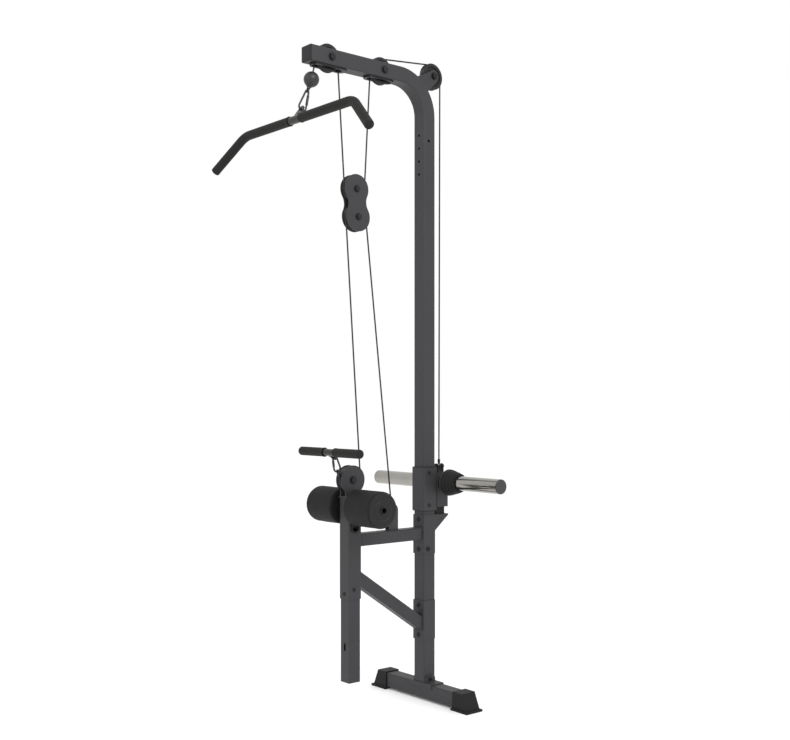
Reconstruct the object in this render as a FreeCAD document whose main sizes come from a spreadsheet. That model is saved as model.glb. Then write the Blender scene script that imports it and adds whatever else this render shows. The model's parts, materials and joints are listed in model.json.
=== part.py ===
import FreeCAD, Part
import math
import os
import Sketcher

# Lat pulldown machine with a plate-loaded carriage. Millimetres, +Z up, floor at z = 0.
# +X is the machine's left-to-right axis, -Y its front. Positions in the sheet are taken
# from the upright's own axis; upright_y carries that axis to its place in the frame.

Vector = FreeCAD.Vector
Rotation = FreeCAD.Rotation
Placement = FreeCAD.Placement

DIMENSIONS = {
    "upright_y": 239.235,
    "tube_side": 50, "tube_wall": 2, "tube_corner": 4,
    "base_length": 412, "base_height": 31,
    "saddle_length": 128, "saddle_plate": 3, "saddle_flange": 12,
    "foot_lip": 7, "foot_inner": 165, "foot_outer": 241, "foot_width": 70,
    "arm_height": 2062, "arm_reach": 480, "bend_radius": 120,
    "front_pulley_y": -404, "second_pulley_y": -193, "slot_width": 24, "slot_length": 104,
    "rear_pulley_y": 29, "rear_pulley_z": 2085,
    "leg_y": -313, "leg_bottom": 369, "leg_top": 690,
    "inner_leg_side": 45, "inner_leg_bottom": 106, "inner_leg_top": 540,
    "low_pulley_z": 745,
    "pulley_radius": 43.8, "pulley_width": 18, "pulley_bore": 13,
    "cable_radius": 2.5, "pitch_radius": 40, "axle_radius": 5,
    "clamp_plate": 3, "clamp_height": 130, "upper_clamp_z": 550, "lower_clamp_z": 265,
    "strut_side": 40, "strut_z": 553, "brace_low_z": 255, "brace_high_z": 431,
    "roller_z": 659.5, "spare_roller_z": 595.5, "roller_radius": 57.5, "roller_bar_radius": 12.5,
    "roller_inner": 34, "roller_outer": 161, "roller_reach": 168,
    "anchor_y": -143, "anchor_z": 639, "anchor_width": 38,
    "stop_top": 614, "stop_depth": 60, "bumper_top": 638.7,
    "carriage_side": 60, "carriage_wall": 3, "carriage_bottom": 630, "carriage_top": 772,
    "box_depth": 50, "box_bottom": 639, "box_top": 752,
    "post_y": 54.3, "post_z": 722, "post_radius": 24, "post_reach": 303,
    "flange_radius": 44, "flange_inner": 62, "flange_outer": 66, "collar_outer": 114,
    "clevis_y": 65, "clevis_bolt_z": 774,
    "block_y": -294, "block_z": 1623.3, "block_half": 44, "block_lobe": 46.5, "block_waist": 35,
    "block_sheave_radius": 43,
    "ball_y": -464.5, "ball_z": 1985, "ball_radius": 24.2,
    "lat_bar_y": -523, "lat_bar_z": 1852, "lat_bar_radius": 12.5, "lat_grip_radius": 14.5,
    "lat_bend_x": 286, "lat_end_x": 408, "lat_end_drop": 107.3, "lat_bend_radius": 70,
    "low_bar_y": -393, "low_bar_z": 833.7, "low_bar_radius": 11, "low_grip_radius": 14,
    "low_bar_reach": 155, "grip_gap": 27,
    "accessory_z": 1815, "accessory_spacing": 43.3,
    "bolt_radius": 4, "bolt_head_radius": 7, "bolt_head_height": 5,
}

BLOCK_TILT = 3.81
FITTING_TILT = 20.9
LAT_HOOK_TILT = 19.6
LAT_BAR_TILT = 21.3
LAT_LUG_TILT = 30.5
HOOK_WIRE = 3
RING_RADIUS = 5.5
RING_WIRE = 2

doc = FreeCAD.newDocument("lat_pulldown_machine")
sheet = doc.addObject("Spreadsheet::Sheet", "dims")
for row, (alias, value) in enumerate(DIMENSIONS.items(), start=1):
    sheet.set("A%d" % row, alias)
    sheet.set("B%d" % row, str(value))
    sheet.setAlias("B%d" % row, alias)
doc.recompute()


class Size:
    """A length together with the sheet expression it comes from."""

    def __init__(self, value, text):
        self.value = float(value)
        self.text = text

    def __float__(self):
        return self.value

    def __neg__(self):
        return Size(-self.value, "(-1 * %s)" % self.text)

    def __add__(self, other):
        return Size(self.value + float(other), "(%s + %s)" % (self.text, text_of(other)))

    def __radd__(self, other):
        return self + other

    def __sub__(self, other):
        return Size(self.value - float(other), "(%s - %s)" % (self.text, text_of(other)))

    def __rsub__(self, other):
        return -self + other

    def __mul__(self, factor):
        return Size(self.value * factor, "(%s * %s)" % (self.text, factor))

    def __rmul__(self, factor):
        return self * factor

    def __truediv__(self, factor):
        return Size(self.value / factor, "(%s / %s)" % (self.text, factor))


def text_of(value):
    return value.text if isinstance(value, Size) else "(%r)" % float(value)


def dim(alias):
    return Size(DIMENSIONS[alias], "dims." + alias)


def bind(target, path, value):
    if isinstance(value, Size):
        target.setExpression(path, value.text)


nodes = []


def place(target, x, y, z, tilt=0.0):
    """Put an object at a point given from the upright's axis, tilted about X by some degrees."""
    y = y + dim("upright_y")
    target.Placement = Placement(Vector(float(x), float(y), float(z)), Rotation(Vector(1, 0, 0), tilt))
    bind(target, "Placement.Base.x", x)
    bind(target, "Placement.Base.y", y)
    bind(target, "Placement.Base.z", z)


def new_body(label, x, y, z, tilt=0.0):
    body = doc.addObject("PartDesign::Body", label)
    body.Label = label
    if "AllowCompound" in body.PropertiesList:
        body.AllowCompound = True
    place(body, x, y, z, tilt)
    nodes.append(body)
    return body


# ---- sketches ----

def new_sketch(body, role, offset=0.0, tilt=0.0):
    """A sketch on one of the body's own origin planes, moved along the plane's normal."""
    sketch = body.newObject("Sketcher::SketchObject", body.Label + "_sketch")
    plane = [item for item in body.Origin.OriginFeatures if item.Role == role][0]
    sketch.AttachmentSupport = [(plane, "")]
    sketch.MapMode = "FlatFace"
    sketch.AttachmentOffset = Placement(Vector(0, 0, float(offset)), Rotation(Vector(1, 0, 0), tilt))
    bind(sketch, "AttachmentOffset.Base.z", offset)
    return sketch


def pin(sketch, kind, geometry, point, value):
    """Hold one coordinate of a sketch point at a distance from the origin."""
    if abs(float(value)) < 1e-9:
        axis = -2 if kind == "DistanceX" else -1
        sketch.addConstraint(Sketcher.Constraint("PointOnObject", geometry, point, axis))
        return
    if float(value) > 0:
        index = sketch.addConstraint(Sketcher.Constraint(kind, -1, 1, geometry, point, float(value)))
    else:
        index = sketch.addConstraint(Sketcher.Constraint(kind, geometry, point, -1, 1, -float(value)))
        value = -value
    bind(sketch, "Constraints[%d]" % index, value)


def pin_point(sketch, geometry, point, x, y):
    pin(sketch, "DistanceX", geometry, point, x)
    pin(sketch, "DistanceY", geometry, point, y)


def circle(sketch, x, y, radius):
    centre = Vector(float(x), float(y), 0)
    index = sketch.addGeometry(Part.Circle(centre, Vector(0, 0, 1), float(radius)), False)
    pin_point(sketch, index, 3, x, y)
    held = sketch.addConstraint(Sketcher.Constraint("Radius", index, float(radius)))
    bind(sketch, "Constraints[%d]" % held, radius)


def polygon(sketch, points):
    corners = [Vector(float(x), float(y), 0) for x, y in points]
    count = len(corners)
    first = sketch.GeometryCount
    for i in range(count):
        sketch.addGeometry(Part.LineSegment(corners[i], corners[(i + 1) % count]), False)
    for i in range(count):
        after = first + (i + 1) % count
        sketch.addConstraint(Sketcher.Constraint("Coincident", first + i, 2, after, 1))
    for i, (x, y) in enumerate(points):
        pin_point(sketch, first + i, 1, x, y)


def rectangle(sketch, x0, y0, x1, y1):
    polygon(sketch, [(x0, y0), (x1, y0), (x1, y1), (x0, y1)])


def rounded_rectangle(sketch, x0, y0, x1, y1, radius):
    left, low, right, high = float(x0), float(y0), float(x1), float(y1)
    r = float(radius)
    z_axis = Vector(0, 0, 1)
    runs = [
        (Vector(left + r, low, 0), Vector(right - r, low, 0)),
        (Vector(right, low + r, 0), Vector(right, high - r, 0)),
        (Vector(right - r, high, 0), Vector(left + r, high, 0)),
        (Vector(left, high - r, 0), Vector(left, low + r, 0)),
    ]
    centres = [
        Vector(right - r, low + r, 0), Vector(right - r, high - r, 0),
        Vector(left + r, high - r, 0), Vector(left + r, low + r, 0),
    ]
    lines = [sketch.addGeometry(Part.LineSegment(start, end), False) for start, end in runs]
    arcs = []
    for i, centre in enumerate(centres):
        begin = math.radians(-90 + 90 * i)
        corner = Part.ArcOfCircle(Part.Circle(centre, z_axis, r), begin, begin + math.pi / 2)
        arcs.append(sketch.addGeometry(corner, False))
    for i in range(4):
        sketch.addConstraint(Sketcher.Constraint("Tangent", lines[i], 2, arcs[i], 1))
        sketch.addConstraint(Sketcher.Constraint("Tangent", arcs[i], 2, lines[(i + 1) % 4], 1))
    for i in range(4):
        sketch.addConstraint(Sketcher.Constraint("Vertical" if i % 2 else "Horizontal", lines[i]))
    for i in range(1, 4):
        sketch.addConstraint(Sketcher.Constraint("Equal", arcs[0], arcs[i]))
    held = sketch.addConstraint(Sketcher.Constraint("Radius", arcs[0], r))
    bind(sketch, "Constraints[%d]" % held, radius)
    pin(sketch, "DistanceY", lines[0], 1, y0)
    pin(sketch, "DistanceX", lines[1], 1, x1)
    pin(sketch, "DistanceY", lines[2], 1, y1)
    pin(sketch, "DistanceX", lines[3], 1, x0)


def centred_rectangle(sketch, width, height, radius, x=0.0, y=0.0):
    rounded_rectangle(sketch, x - width / 2, y - height / 2, x + width / 2, y + height / 2, radius)


def tube_section(sketch, width, height, wall, corner):
    centred_rectangle(sketch, width, height, corner)
    centred_rectangle(sketch, width - 2 * float(wall), height - 2 * float(wall), float(corner) / 2)


def path(sketch, points, bend=None):
    """An open run of straight lines, its inner corners rounded by tangent arcs."""
    corners = [Vector(float(x), float(y), 0) for x, y in points]
    if len(corners) == 2:
        line = sketch.addGeometry(Part.LineSegment(corners[0], corners[1]), False)
        pin_point(sketch, line, 1, *points[0])
        pin_point(sketch, line, 2, *points[1])
        return
    start, corner, end = corners
    before = (start - corner).normalize()
    after = (end - corner).normalize()
    half = math.acos(max(-1, min(1, before.dot(after)))) / 2
    setback = float(bend) / math.tan(half)
    first_touch = corner + before * setback
    second_touch = corner + after * setback
    middle = corner + (before + after).normalize() * (float(bend) / math.sin(half) - float(bend))
    first = sketch.addGeometry(Part.LineSegment(start, first_touch), False)
    arc = sketch.addGeometry(Part.Arc(first_touch, middle, second_touch), False)
    last = sketch.addGeometry(Part.LineSegment(second_touch, end), False)
    begins = sketch.getPoint(arc, 1).distanceToPoint(first_touch) < 1e-6
    near, far = (1, 2) if begins else (2, 1)
    sketch.addConstraint(Sketcher.Constraint("Tangent", first, 2, arc, near))
    sketch.addConstraint(Sketcher.Constraint("Tangent", arc, far, last, 1))
    held = sketch.addConstraint(Sketcher.Constraint("Radius", arc, float(bend)))
    bind(sketch, "Constraints[%d]" % held, bend)
    pin_point(sketch, first, 1, *points[0])
    pin_point(sketch, last, 2, *points[2])


# ---- features ----

def pad(body, sketch, length, symmetric=True, reverse=False):
    feature = body.newObject("PartDesign::Pad", body.Label + "_pad")
    feature.Profile = sketch
    feature.Length = float(length)
    feature.Midplane = symmetric
    feature.Reversed = reverse
    bind(feature, "Length", length)
    doc.recompute()
    return feature


def pocket(body, sketch, length=None, symmetric=True, reverse=False):
    before = body.Shape.Volume
    feature = body.newObject("PartDesign::Pocket", body.Label + "_pocket")
    feature.Profile = sketch
    if length is None:
        feature.Type = "ThroughAll"
    else:
        feature.Length = float(length)
        bind(feature, "Length", length)
    feature.Midplane = symmetric
    feature.Reversed = reverse
    doc.recompute()
    if body.Shape.Volume > before - 0.5:
        raise RuntimeError("a pocket in %s cut nothing" % body.Label)
    return feature


def revolve(body, sketch, axis="H_Axis"):
    feature = body.newObject("PartDesign::Revolution", body.Label + "_turned")
    feature.Profile = sketch
    feature.ReferenceAxis = (sketch, [axis])
    feature.Angle = 360
    doc.recompute()
    return feature


def pipe(body, kind, profile, spine):
    feature = body.newObject("PartDesign::" + kind, body.Label + "_swept")
    feature.Profile = profile
    feature.Spine = (spine, ["Edge%d" % (i + 1) for i in range(len(spine.Shape.Edges))])
    feature.Mode = "Frenet"
    doc.recompute()
    return feature


def mirror(body, features, role="YZ_Plane"):
    feature = body.newObject("PartDesign::Mirrored", body.Label + "_mirrored")
    plane = [item for item in body.Origin.OriginFeatures if item.Role == role][0]
    feature.Originals = features
    feature.MirrorPlane = (plane, [""])
    body.Tip = feature
    doc.recompute()
    return feature


def fillet(body, radius, picked):
    """Round every edge of the body's tip whose end points all pass the given test."""
    tip = body.Tip
    names = []
    for i, edge in enumerate(tip.Shape.Edges):
        if all(picked(vertex.Point) for vertex in edge.Vertexes):
            names.append("Edge%d" % (i + 1))
    if not names:
        raise RuntimeError("no edge to round in %s" % body.Label)
    feature = body.newObject("PartDesign::Fillet", body.Label + "_fillet")
    feature.Base = (tip, names)
    feature.Radius = radius
    doc.recompute()
    return feature


def straight_tube(label, role, centre, width, height, wall, length, corner):
    body = new_body(label, *centre)
    sketch = new_sketch(body, role)
    tube_section(sketch, width, height, wall, corner)
    pad(body, sketch, length)
    return body


def turned(label, centre, profile, tilt=0.0):
    """A solid of revolution about X, from (x, radius) corners."""
    body = new_body(label, *centre, tilt=tilt)
    sketch = new_sketch(body, "XZ_Plane")
    polygon(sketch, profile)
    revolve(body, sketch)
    return body


# ---- part primitives ----

def finish_primitive(item, base, direction):
    turn = Rotation(Vector(0, 0, 1), Vector(*direction))
    item.Placement = Placement(Vector(*[float(value) for value in base]), turn)
    return item


def cylinder(radius, height, base, direction=(1, 0, 0)):
    item = doc.addObject("Part::Cylinder", "cylinder")
    item.Radius = float(radius)
    item.Height = float(height)
    bind(item, "Radius", radius)
    bind(item, "Height", height)
    return finish_primitive(item, base, direction)


def hexagon(radius, height, base, direction=(1, 0, 0)):
    item = doc.addObject("Part::Prism", "hexagon")
    item.Polygon = 6
    item.Circumradius = float(radius)
    item.Height = float(height)
    bind(item, "Circumradius", radius)
    return finish_primitive(item, base, direction)


def torus(major, minor, centre, direction=(0, 0, 1)):
    item = doc.addObject("Part::Torus", "ring")
    item.Radius1 = major
    item.Radius2 = minor
    return finish_primitive(item, centre, direction)


def sphere(radius, centre):
    item = doc.addObject("Part::Sphere", "ball")
    item.Radius = float(radius)
    bind(item, "Radius", radius)
    return finish_primitive(item, centre, (0, 0, 1))


def box(x0, y0, z0, x1, y1, z1):
    item = doc.addObject("Part::Box", "block")
    for name, low, high in (("Length", x0, x1), ("Width", y0, y1), ("Height", z0, z1)):
        setattr(item, name, float(high) - float(low))
        if isinstance(high, Size) or isinstance(low, Size):
            item.setExpression(name, "%s - %s" % (text_of(high), text_of(low)))
    item.Placement.Base = Vector(float(x0), float(y0), float(z0))
    return item


def fuse(items):
    if len(items) == 1:
        return items[0]
    joined = doc.addObject("Part::MultiFuse", "fused")
    joined.Shapes = items
    return joined


def cut(base, tool):
    result = doc.addObject("Part::Cut", "cut")
    result.Base = base
    result.Tool = tool
    return result


def group(label, items, place_at, tilt=0.0):
    """Several separate pieces of one kind kept together as one sub-part."""
    held = doc.addObject("Part::Compound", label)
    held.Links = items
    held.Label = label
    place(held, *place_at, tilt=tilt)
    nodes.append(held)
    return held


def keep(label, item, place_at, tilt=0.0):
    """A single Part solid kept as a sub-part, placed by its own reference point."""
    held = doc.addObject("Part::Compound", label)
    held.Links = [item]
    held.Label = label
    place(held, *place_at, tilt=tilt)
    nodes.append(held)
    return held


def bolt(x, y, z, direction, reach, head=None, height=None):
    """A round-headed bolt: its head stands on the point, its shank goes back into the wall."""
    head = head or dim("bolt_head_radius")
    height = height or dim("bolt_head_height")
    back = [value - reach * step for value, step in zip((x, y, z), direction)]
    shank = cylinder(dim("bolt_radius"), reach + float(height) / 2, back, direction)
    return fuse([cylinder(head, height, (x, y, z), direction), shank])


# ---- base ----

half_tube = dim("tube_side") / 2
base_top = dim("base_height") + half_tube
saddle_top = base_top + dim("saddle_plate")

straight_tube("base_tube", "YZ_Plane", (0, 0, dim("base_height")), dim("tube_side"),
              dim("tube_side"), dim("tube_wall"), dim("base_length"), dim("tube_corner"))


def build_foot(side):
    lip = box(dim("foot_inner"), -dim("foot_width") / 2, 0, dim("foot_outer"), dim("foot_width") / 2,
              dim("foot_lip"))
    hood = doc.addObject("Part::Wedge", "hood")
    hood.Xmin, hood.Xmax, hood.Ymin, hood.Ymax, hood.Zmin, hood.Zmax = 168, 232, 0, 53.5, -31, 31
    hood.X2min, hood.X2max, hood.Z2min, hood.Z2max = 168, 212, -28.5, 28.5
    hood.Placement = Placement(Vector(0, 0, 6), Rotation(Vector(1, 0, 0), 90))
    socket = box(160, -half_tube, base_top - dim("tube_side"), dim("base_length") / 2, half_tube, base_top)
    foot = cut(fuse([lip, hood]), socket)
    if side > 0:
        return foot
    other = doc.addObject("Part::Mirroring", "foot_mirrored")
    other.Source = foot
    other.Normal = Vector(1, 0, 0)
    return other


group("base_feet", [build_foot(1), build_foot(-1)], (0, 0, 0))

saddle = new_body("base_saddle", 0, 0, base_top)
sketch = new_sketch(saddle, "YZ_Plane")
outer = half_tube + dim("saddle_plate")
polygon(sketch, [(-outer, -dim("saddle_flange")), (-half_tube, -dim("saddle_flange")), (-half_tube, 0),
                 (half_tube, 0), (half_tube, -dim("saddle_flange")), (outer, -dim("saddle_flange")),
                 (outer, dim("saddle_plate")), (-outer, dim("saddle_plate"))])
pad(saddle, sketch, dim("saddle_length"))
sketch = new_sketch(saddle, "YZ_Plane")
polygon(sketch, [(-22, 3), (22, 3), (22, 16), (12, 26), (-12, 26), (-22, 16)])
pad(saddle, sketch, 58.4)
sketch = new_sketch(saddle, "YZ_Plane")
rectangle(sketch, -25, 3, 25, 30)
pocket(saddle, sketch, 50.4)
sketch = new_sketch(saddle, "YZ_Plane")
circle(sketch, 0, 15, dim("bolt_radius"))
pocket(saddle, sketch)

# ---- upright and arm ----

upright = new_body("upright", 0, 0, saddle_top)
spine = new_sketch(upright, "YZ_Plane")
arm_up = dim("arm_height") - saddle_top
path(spine, [(0, 0), (0, arm_up), (-dim("arm_reach"), arm_up)], dim("bend_radius"))
profile = new_sketch(upright, "XY_Plane")
tube_section(profile, dim("tube_side"), dim("tube_side"), dim("tube_wall"), dim("tube_corner"))
doc.recompute()
pipe(upright, "AdditivePipe", profile, spine)

sketch = new_sketch(upright, "XY_Plane")
for pulley in ("front_pulley_y", "second_pulley_y"):
    centred_rectangle(sketch, dim("slot_width"), dim("slot_length"), 11.5, y=dim(pulley))
pocket(upright, sketch, symmetric=False, reverse=True)

sketch = new_sketch(upright, "YZ_Plane")
for pulley in ("front_pulley_y", "second_pulley_y"):
    circle(sketch, dim(pulley), arm_up, dim("axle_radius"))
circle(sketch, 0, base_top + 15 - saddle_top, dim("bolt_radius"))
pocket(upright, sketch)

sketch = new_sketch(upright, "YZ_Plane")
circle(sketch, -3, 1861 - saddle_top, 5)
circle(sketch, -8, 502 - saddle_top, dim("bolt_radius"))
pocket(upright, sketch, 30, symmetric=False, reverse=True)

CLAMP_BOLT_OFFSETS = (50, -50)
ACCESSORY_HOLES = (-1.5, -0.5, 0.5, 1.5)
sketch = new_sketch(upright, "XZ_Plane")
for step in ACCESSORY_HOLES:
    circle(sketch, 0, dim("accessory_z") + dim("accessory_spacing") * step - saddle_top, 4.5)
for clamp in ("upper_clamp_z", "lower_clamp_z"):
    for offset in CLAMP_BOLT_OFFSETS:
        circle(sketch, 0, dim(clamp) + offset - saddle_top, dim("bolt_radius"))
pocket(upright, sketch, 30, symmetric=False, reverse=True)

cap = new_body("arm_end_cap", 0, -dim("arm_reach"), dim("arm_height"))
sketch = new_sketch(cap, "XZ_Plane")
centred_rectangle(sketch, dim("tube_side"), dim("tube_side"), dim("tube_corner"))
pad(cap, sketch, 6, symmetric=False)
fillet(cap, 5, lambda point: point.y < -5.9)
sketch = new_sketch(cap, "XZ_Plane")
centred_rectangle(sketch, dim("tube_side") - 4.2, dim("tube_side") - 4.2, 2.5)
pad(cap, sketch, 16, symmetric=False, reverse=True)
sketch = new_sketch(cap, "XZ_Plane")
centred_rectangle(sketch, dim("tube_side") - 9, dim("tube_side") - 9, 2)
pocket(cap, sketch, 16, symmetric=False)

guards = new_body("arm_slot_guards", 0, 0, dim("arm_height") - half_tube)
sketch = new_sketch(guards, "XY_Plane")
centred_rectangle(sketch, 40, Size(132, "132"), 18, y=dim("front_pulley_y") + 4)
centred_rectangle(sketch, 40, Size(112, "112"), 18, y=dim("second_pulley_y") - 6)
pad(guards, sketch, 6.5, symmetric=False, reverse=True)
sketch = new_sketch(guards, "XY_Plane")
centred_rectangle(sketch, dim("slot_width"), dim("slot_length") + 6, 11.5, y=dim("front_pulley_y") - 1)
centred_rectangle(sketch, dim("slot_width"), dim("slot_length") - 10, 11.5, y=dim("second_pulley_y") - 5)
pocket(guards, sketch)

ears = new_body("rear_pulley_ears", 0, dim("rear_pulley_y"), dim("rear_pulley_z"))
sketch = new_sketch(ears, "YZ_Plane")
circle(sketch, 0, 0, 20)
pad(ears, sketch, 32)
sketch = new_sketch(ears, "YZ_Plane")
polygon(sketch, [(-8.7, 18), (14.3, -14), (-26, -55), (-75, -18)])
pad(ears, sketch, 32)
sketch = new_sketch(ears, "YZ_Plane")
circle(sketch, -dim("bend_radius") - dim("rear_pulley_y"),
       dim("arm_height") - dim("bend_radius") - dim("rear_pulley_z"), dim("bend_radius") + half_tube + 0.05)
pocket(ears, sketch)
sketch = new_sketch(ears, "YZ_Plane")
rectangle(sketch, -100, -100, 60, 60)
pocket(ears, sketch, 24)
sketch = new_sketch(ears, "YZ_Plane")
circle(sketch, 0, 0, dim("axle_radius"))
pocket(ears, sketch)

# ---- clamps, strut and brace to the front leg ----

clamp_front = -half_tube - dim("clamp_plate")
leg_rear = dim("leg_y") + half_tube


def build_clamp(label, height):
    clamp = new_body(label, 0, 0, height)
    sketch = new_sketch(clamp, "XY_Plane")
    rounded_rectangle(sketch, clamp_front, clamp_front, -clamp_front, half_tube, dim("tube_corner"))
    pad(clamp, sketch, dim("clamp_height"))
    sketch = new_sketch(clamp, "XY_Plane")
    rectangle(sketch, -half_tube, -half_tube, half_tube, half_tube + 10)
    pocket(clamp, sketch)
    sketch = new_sketch(clamp, "XZ_Plane")
    for offset in CLAMP_BOLT_OFFSETS:
        circle(sketch, 0, offset, dim("bolt_radius"))
    pocket(clamp, sketch)
    return clamp


upper = build_clamp("upper_clamp", dim("upper_clamp_z"))
sketch = new_sketch(upper, "YZ_Plane")
circle(sketch, -8, -48, dim("bolt_radius"))
pocket(upper, sketch, 40, symmetric=False, reverse=True)
build_clamp("lower_clamp", dim("lower_clamp_z"))

strut_length = clamp_front - leg_rear
straight_tube("leg_strut", "XZ_Plane", (0, (clamp_front + leg_rear) / 2, dim("strut_z")), dim("strut_side"),
              dim("strut_side"), dim("tube_wall"), strut_length, dim("tube_corner"))

brace = new_body("diagonal_brace", 0, clamp_front, dim("brace_low_z"))
rise = dim("brace_high_z") - dim("brace_low_z")
slope = math.atan2(float(rise), float(strut_length))
sketch = new_sketch(brace, "XZ_Plane")
outer_height = float(dim("strut_side")) / math.cos(slope)
inner_height = outer_height - 2 * float(dim("tube_wall")) / math.cos(slope)
inner_width = dim("strut_side") - dim("tube_wall") * 2
rounded_rectangle(sketch, -dim("strut_side") / 2, -outer_height / 2, dim("strut_side") / 2,
                  outer_height / 2, dim("tube_corner"))
rounded_rectangle(sketch, -inner_width / 2, -inner_height / 2, inner_width / 2, inner_height / 2, 2)
run = pad(brace, sketch, strut_length, symmetric=False)
run.UseCustomVector = True
run.Direction = Vector(0, -float(strut_length), float(rise))
run.AlongSketchNormal = True
doc.recompute()

# ---- front leg ----

leg = straight_tube("front_leg", "XY_Plane", (0, dim("leg_y"), (dim("leg_bottom") + dim("leg_top")) / 2),
                    dim("tube_side"), dim("tube_side"), dim("tube_wall"),
                    dim("leg_top") - dim("leg_bottom"), dim("tube_corner"))
leg_middle = (dim("leg_bottom") + dim("leg_top")) / 2
BUSH_RADIUS = 15
sketch = new_sketch(leg, "YZ_Plane")
for height in ("roller_z", "spare_roller_z"):
    circle(sketch, 0, dim(height) - leg_middle, BUSH_RADIUS)
pocket(leg, sketch)
sketch = new_sketch(leg, "YZ_Plane")
circle(sketch, -4, 400 - leg_middle, dim("bolt_radius"))
pocket(leg, sketch, 30, symmetric=False, reverse=True)
sketch = new_sketch(leg, "XZ_Plane")
circle(sketch, 0, 385 - leg_middle, dim("bolt_radius"))
pocket(leg, sketch, 30, symmetric=False, reverse=True)

inner_leg_length = dim("inner_leg_top") - dim("inner_leg_bottom")
inner_leg_middle = (dim("inner_leg_top") + dim("inner_leg_bottom")) / 2
inner_leg = straight_tube("inner_leg", "XY_Plane", (0, dim("leg_y"), inner_leg_middle),
                          dim("inner_leg_side"), dim("inner_leg_side"), dim("tube_wall"),
                          inner_leg_length, 3)
sketch = new_sketch(inner_leg, "XZ_Plane")
rounded_rectangle(sketch, -4.5, 205 - inner_leg_middle, 4.5, 230 - inner_leg_middle, 4.3)
pocket(inner_leg, sketch, 30, symmetric=False, reverse=True)

bushes = new_body("roller_bushes", 0, dim("leg_y"), dim("roller_z"))
bore = dim("roller_bar_radius") + 0.1
for drop in (0, dim("roller_z") - dim("spare_roller_z")):
    sketch = new_sketch(bushes, "YZ_Plane")
    circle(sketch, 0, -drop, BUSH_RADIUS + 3)
    circle(sketch, 0, -drop, bore)
    pad(bushes, sketch, dim("tube_side") + 5)
for drop in (0, dim("roller_z") - dim("spare_roller_z")):
    sketch = new_sketch(bushes, "YZ_Plane")
    circle(sketch, 0, -drop, BUSH_RADIUS + 5)
    circle(sketch, 0, -drop, BUSH_RADIUS)
    pocket(bushes, sketch, dim("tube_side"))

bracket = new_body("low_pulley_bracket", 0, dim("leg_y"), dim("low_pulley_z"))
sketch = new_sketch(bracket, "YZ_Plane")
circle(sketch, 0, 0, 46)
pad(bracket, sketch, 29)
sketch = new_sketch(bracket, "YZ_Plane")
rectangle(sketch, -30, dim("leg_top") - dim("low_pulley_z"), 30, 0)
pad(bracket, sketch, 29)
sketch = new_sketch(bracket, "YZ_Plane")
rectangle(sketch, -60, dim("leg_top") - dim("low_pulley_z") + 4, 60, 60)
pocket(bracket, sketch, 22)
sketch = new_sketch(bracket, "XY_Plane", dim("leg_top") - dim("low_pulley_z"))
centred_rectangle(sketch, Size(50, "50"), Size(60, "60"), 4)
pad(bracket, sketch, 4, symmetric=False)
sketch = new_sketch(bracket, "YZ_Plane")
circle(sketch, 0, 0, dim("axle_radius"))
pocket(bracket, sketch)

anchor = new_body("cable_anchor", 0, dim("anchor_y"), dim("anchor_z"))
anchor_foot = dim("strut_z") + dim("strut_side") / 2 - dim("anchor_z")
sketch = new_sketch(anchor, "YZ_Plane")
circle(sketch, 0, 0, dim("anchor_width") / 2)
pad(anchor, sketch, 20)
sketch = new_sketch(anchor, "YZ_Plane")
rectangle(sketch, -dim("anchor_width") / 2, anchor_foot, dim("anchor_width") / 2, 0)
pad(anchor, sketch, 20)
sketch = new_sketch(anchor, "YZ_Plane")
rectangle(sketch, -30, anchor_foot + 3, 30, 30)
pocket(anchor, sketch, 14)
sketch = new_sketch(anchor, "YZ_Plane")
circle(sketch, 0, 0, dim("bolt_radius"))
pocket(anchor, sketch)

# ---- carriage stop ----

stop_plate = new_body("stop_bracket", 0, half_tube, dim("stop_top"))
sketch = new_sketch(stop_plate, "YZ_Plane")
polygon(sketch, [(0, 0), (0, -54), (dim("stop_depth"), -4), (dim("stop_depth"), 0)])
pad(stop_plate, sketch, 50)
sketch = new_sketch(stop_plate, "YZ_Plane")
rectangle(sketch, -1, -4, dim("stop_depth") + 5, -60)
pocket(stop_plate, sketch, 44)

bumper = new_body("stop_bumper", 0, 52.5, dim("stop_top"))
sketch = new_sketch(bumper, "XY_Plane")
centred_rectangle(sketch, Size(40, "40"), Size(43, "43"), 5)
pad(bumper, sketch, dim("bumper_top") - dim("stop_top"), symmetric=False)
fillet(bumper, 2, lambda point: point.z > 24.6)

# ---- thigh rollers ----

axle_end = dim("roller_reach")
axle_bore = dim("roller_bar_radius") - 2
turned("roller_axle", (0, dim("leg_y"), dim("roller_z")),
       [(-axle_end, axle_bore), (axle_end, axle_bore), (axle_end, dim("roller_bar_radius")),
        (-axle_end, dim("roller_bar_radius"))])


def build_roller(side, name):
    centre = (0, dim("leg_y"), dim("roller_z"))
    start = dim("roller_inner") * side
    end = dim("roller_outer") * side
    core = dim("roller_bar_radius") + 3
    turned(name + "_roller_foam", centre,
           [(start, core), (end, core), (end, dim("roller_radius") - 3),
            (end - 3 * side, dim("roller_radius")), (start + 3 * side, dim("roller_radius")),
            (start, dim("roller_radius") - 3)])
    bore = dim("roller_bar_radius") + 0.1
    turned(name + "_roller_caps", centre,
           [(start - 4 * side, bore), (end + 6 * side, bore), (end + 6 * side, 30), (end + 4 * side, 34),
            (end + 4 * side, 50), (end + 2.5 * side, 54), (end, 54), (end, core), (start, core), (start, 50),
            (start - 4 * side, 50)])


build_roller(-1, "left")
build_roller(1, "right")

# ---- pulleys ----


def sheave_profile(radius, bore):
    half = float(dim("pulley_width")) / 2
    root = float(dim("pitch_radius") - dim("cable_radius")) - 0.3
    right = [(half, bore), (half, 21), (4.5, 24), (4.5, root - 7), (half, root - 4), (half, radius - 1.5),
             (half - 1.2, radius), (half - 2.2, radius), (2.7, root)]
    left = [(-x, y) for x, y in reversed(right)]
    return right + left


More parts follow.
